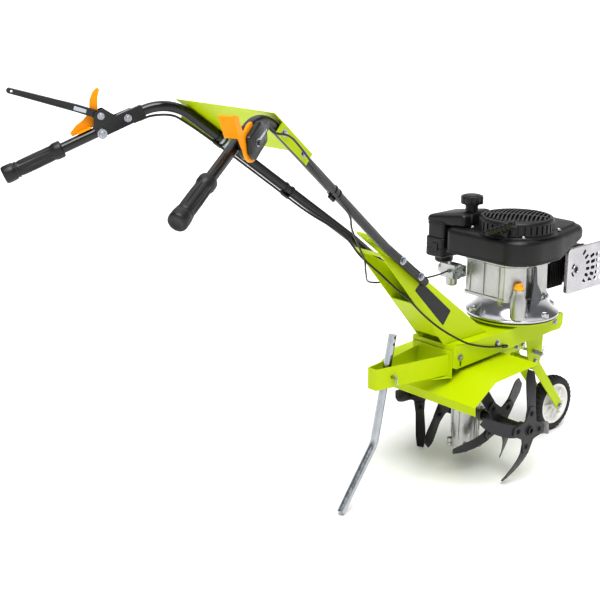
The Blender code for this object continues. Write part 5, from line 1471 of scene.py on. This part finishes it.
def cables():
    piece(
        "clutch_sheath", swept(smooth(CLUTCH_ROUTE, 8), 0.0025, 14), CABLE, replaces=["clutch_cable"],
        bevel=0.0,
    )
    piece(
        "throttle_sheath", swept(smooth(THROTTLE_ROUTE, 8), 0.0022, 14), CABLE,
        replaces=["throttle_cable"], bevel=0.0,
    )
    last = Vector(CLUTCH_ROUTE[-1])
    way = (last - Vector(CLUTCH_ROUTE[-2])).normalized()
    ends = [
        turned(
            [(0.0, -0.002), (0.0042, 0.0), (0.0048, 0.012), (0.004, 0.02), (0.0, 0.02)],
            line_frame(last, last + way), 24,
        )
    ]
    first = Vector(THROTTLE_ROUTE[0])
    back = (first - Vector(THROTTLE_ROUTE[1])).normalized()
    ends.append(
        turned(
            [(0.0, -0.012), (0.004, -0.012), (0.0046, 0.004), (0.0, 0.004)],
            line_frame(first, first + back), 24,
        )
    )
    piece("cable_boots", merged(ends), RUBBER, bevel=0.0004)
    straps = []
    for side, shares in ((1, (0.26, 0.62)), (-1, (0.55,))):
        for share in shares:
            spot = TUBE_APEX.lerp(TUBE_KNEE, share)
            spot = Vector((spot.x, side * spot.y, spot.z))
            way = Vector((LOW_WAY.x, side * LOW_WAY.y, LOW_WAY.z))
            for shift in (-0.009, 0.009):
                base = line_frame(spot + way * shift, spot + way * (shift + 1.0))
                straps.append(
                    turned(
                        [(0.0112, -0.0024), (0.0128, -0.0024), (0.0128, 0.0024), (0.0112, 0.0024)],
                        base, 40,
                    )
                )
            low = spot - FRONT_WAY * 0.015
            straps.append(rod(low - way * 0.01, low + way * 0.01, 0.004, 20))
    piece("cable_straps", merged(straps), RUBBER, bevel=0.0004)
    near = TUBE_APEX.lerp(TUBE_KNEE, 0.3)
    base = line_frame(near, near + LOW_WAY)
    label = turned([(0.01105, -0.022), (0.01125, -0.022), (0.01125, 0.022), (0.01105, 0.022)], base, 48)
    piece("tube_label", label, LABEL, bevel=0.0)


# ---------------------------------------------------------------- carried pieces, stage, light and camera
def inner_works():
    steel = [
        "drive_pulley", "driven_pulley", "worm_wheel", "worm_shaft", "crankshaft", "flywheel",
        "idler_pulley",
    ]
    for name in steel:
        carried(name, DARK_STEEL)
    carried("idler_arm", ZINC, 0.0004)
    carried("belt_cover", LIME, 0.0005)
    carried("drive_belt", RUBBER)
    carried("starter_rope", RUBBER)
    carried("recoil_reel", GLOSS_PLASTIC)


def stage():
    mesh = bpy.data.meshes.new("floor")
    size = 9.0
    corners = [(-size, -size, -0.0005), (size, -size, -0.0005), (size, size, -0.0005), (-size, size, -0.0005)]
    mesh.from_pydata(corners, [], [(0, 1, 2, 3)])
    floor = bpy.data.objects.new("floor", mesh)
    bpy.context.scene.collection.objects.link(floor)
    n = Nodes("pale_floor")
    n.link(n.mixed(n.noise(1.5), (0.93, 0.93, 0.93), (0.96, 0.96, 0.96)), n.shader.inputs["Base Color"])
    n.shader.inputs["Roughness"].default_value = 0.55
    n.shader.inputs["Specular IOR Level"].default_value = 0.25
    mesh.materials.append(n.material)


def light():
    """A white room whose ceiling is dimmer than its walls, and two broad soft lamps from above."""
    world = bpy.data.worlds.new("studio")
    world.use_nodes = True
    tree = world.node_tree
    back = tree.nodes["Background"]
    back.inputs["Color"].default_value = (1.0, 1.0, 1.0, 1.0)
    height = tree.nodes.new("ShaderNodeSeparateXYZ")
    fall = tree.nodes.new("ShaderNodeMapRange")
    fall.interpolation_type = "SMOOTHSTEP"
    for name, value in (("From Min", 0.02), ("From Max", 0.4), ("To Min", 1.05), ("To Max", 0.22)):
        fall.inputs[name].default_value = value
    tree.links.new(tree.nodes.new("ShaderNodeTexCoord").outputs["Generated"], height.inputs["Vector"])
    tree.links.new(height.outputs["Z"], fall.inputs["Value"])
    tree.links.new(fall.outputs["Result"], back.inputs["Strength"])
    bpy.context.scene.world = world
    for name, way, strength, angle in (
        ("key", (-0.3, -0.32, 0.9), 3.0, 45), ("fill", (0.35, 0.3, 0.88), 0.9, 70),
    ):
        lamp = bpy.data.lights.new(name, "SUN")
        lamp.energy = strength
        lamp.angle = math.radians(angle)
        made = bpy.data.objects.new(name, lamp)
        made.rotation_euler = Vector(way).to_track_quat("Z", "Y").to_euler()
        bpy.context.scene.collection.objects.link(made)
    bpy.context.scene.view_settings.view_transform = "Standard"
    bpy.context.scene.view_settings.look = "Medium High Contrast"


def camera():
    """The camera stands where the photograph was taken from, and looks 16 degrees down along the machine."""
    data = bpy.data.cameras.new("camera")
    data.sensor_width = 36.0
    data.lens = 69.12
    made = bpy.data.objects.new("camera", data)
    made.location = Vector((-2.236, -1.836, 1.28)) + SHIFT
    made.rotation_euler = (math.radians(90 - 16.2), 0, math.radians(-41.5))
    bpy.context.scene.collection.objects.link(made)
    bpy.context.scene.camera = made


for build in (
    stage, light, camera, inner_works, belt_housing, engine_ring, column, tine_guard, drag_hitch,
    gearbox, tines, front_wheel, wheel_mount, sump, crankcase, cylinder, silencer, carburettor,
    air_box, cowl, recoil, starter, tank, handlebars, brace, clutch, throttle, cables,
):
    build()

bpy.context.view_layer.update()
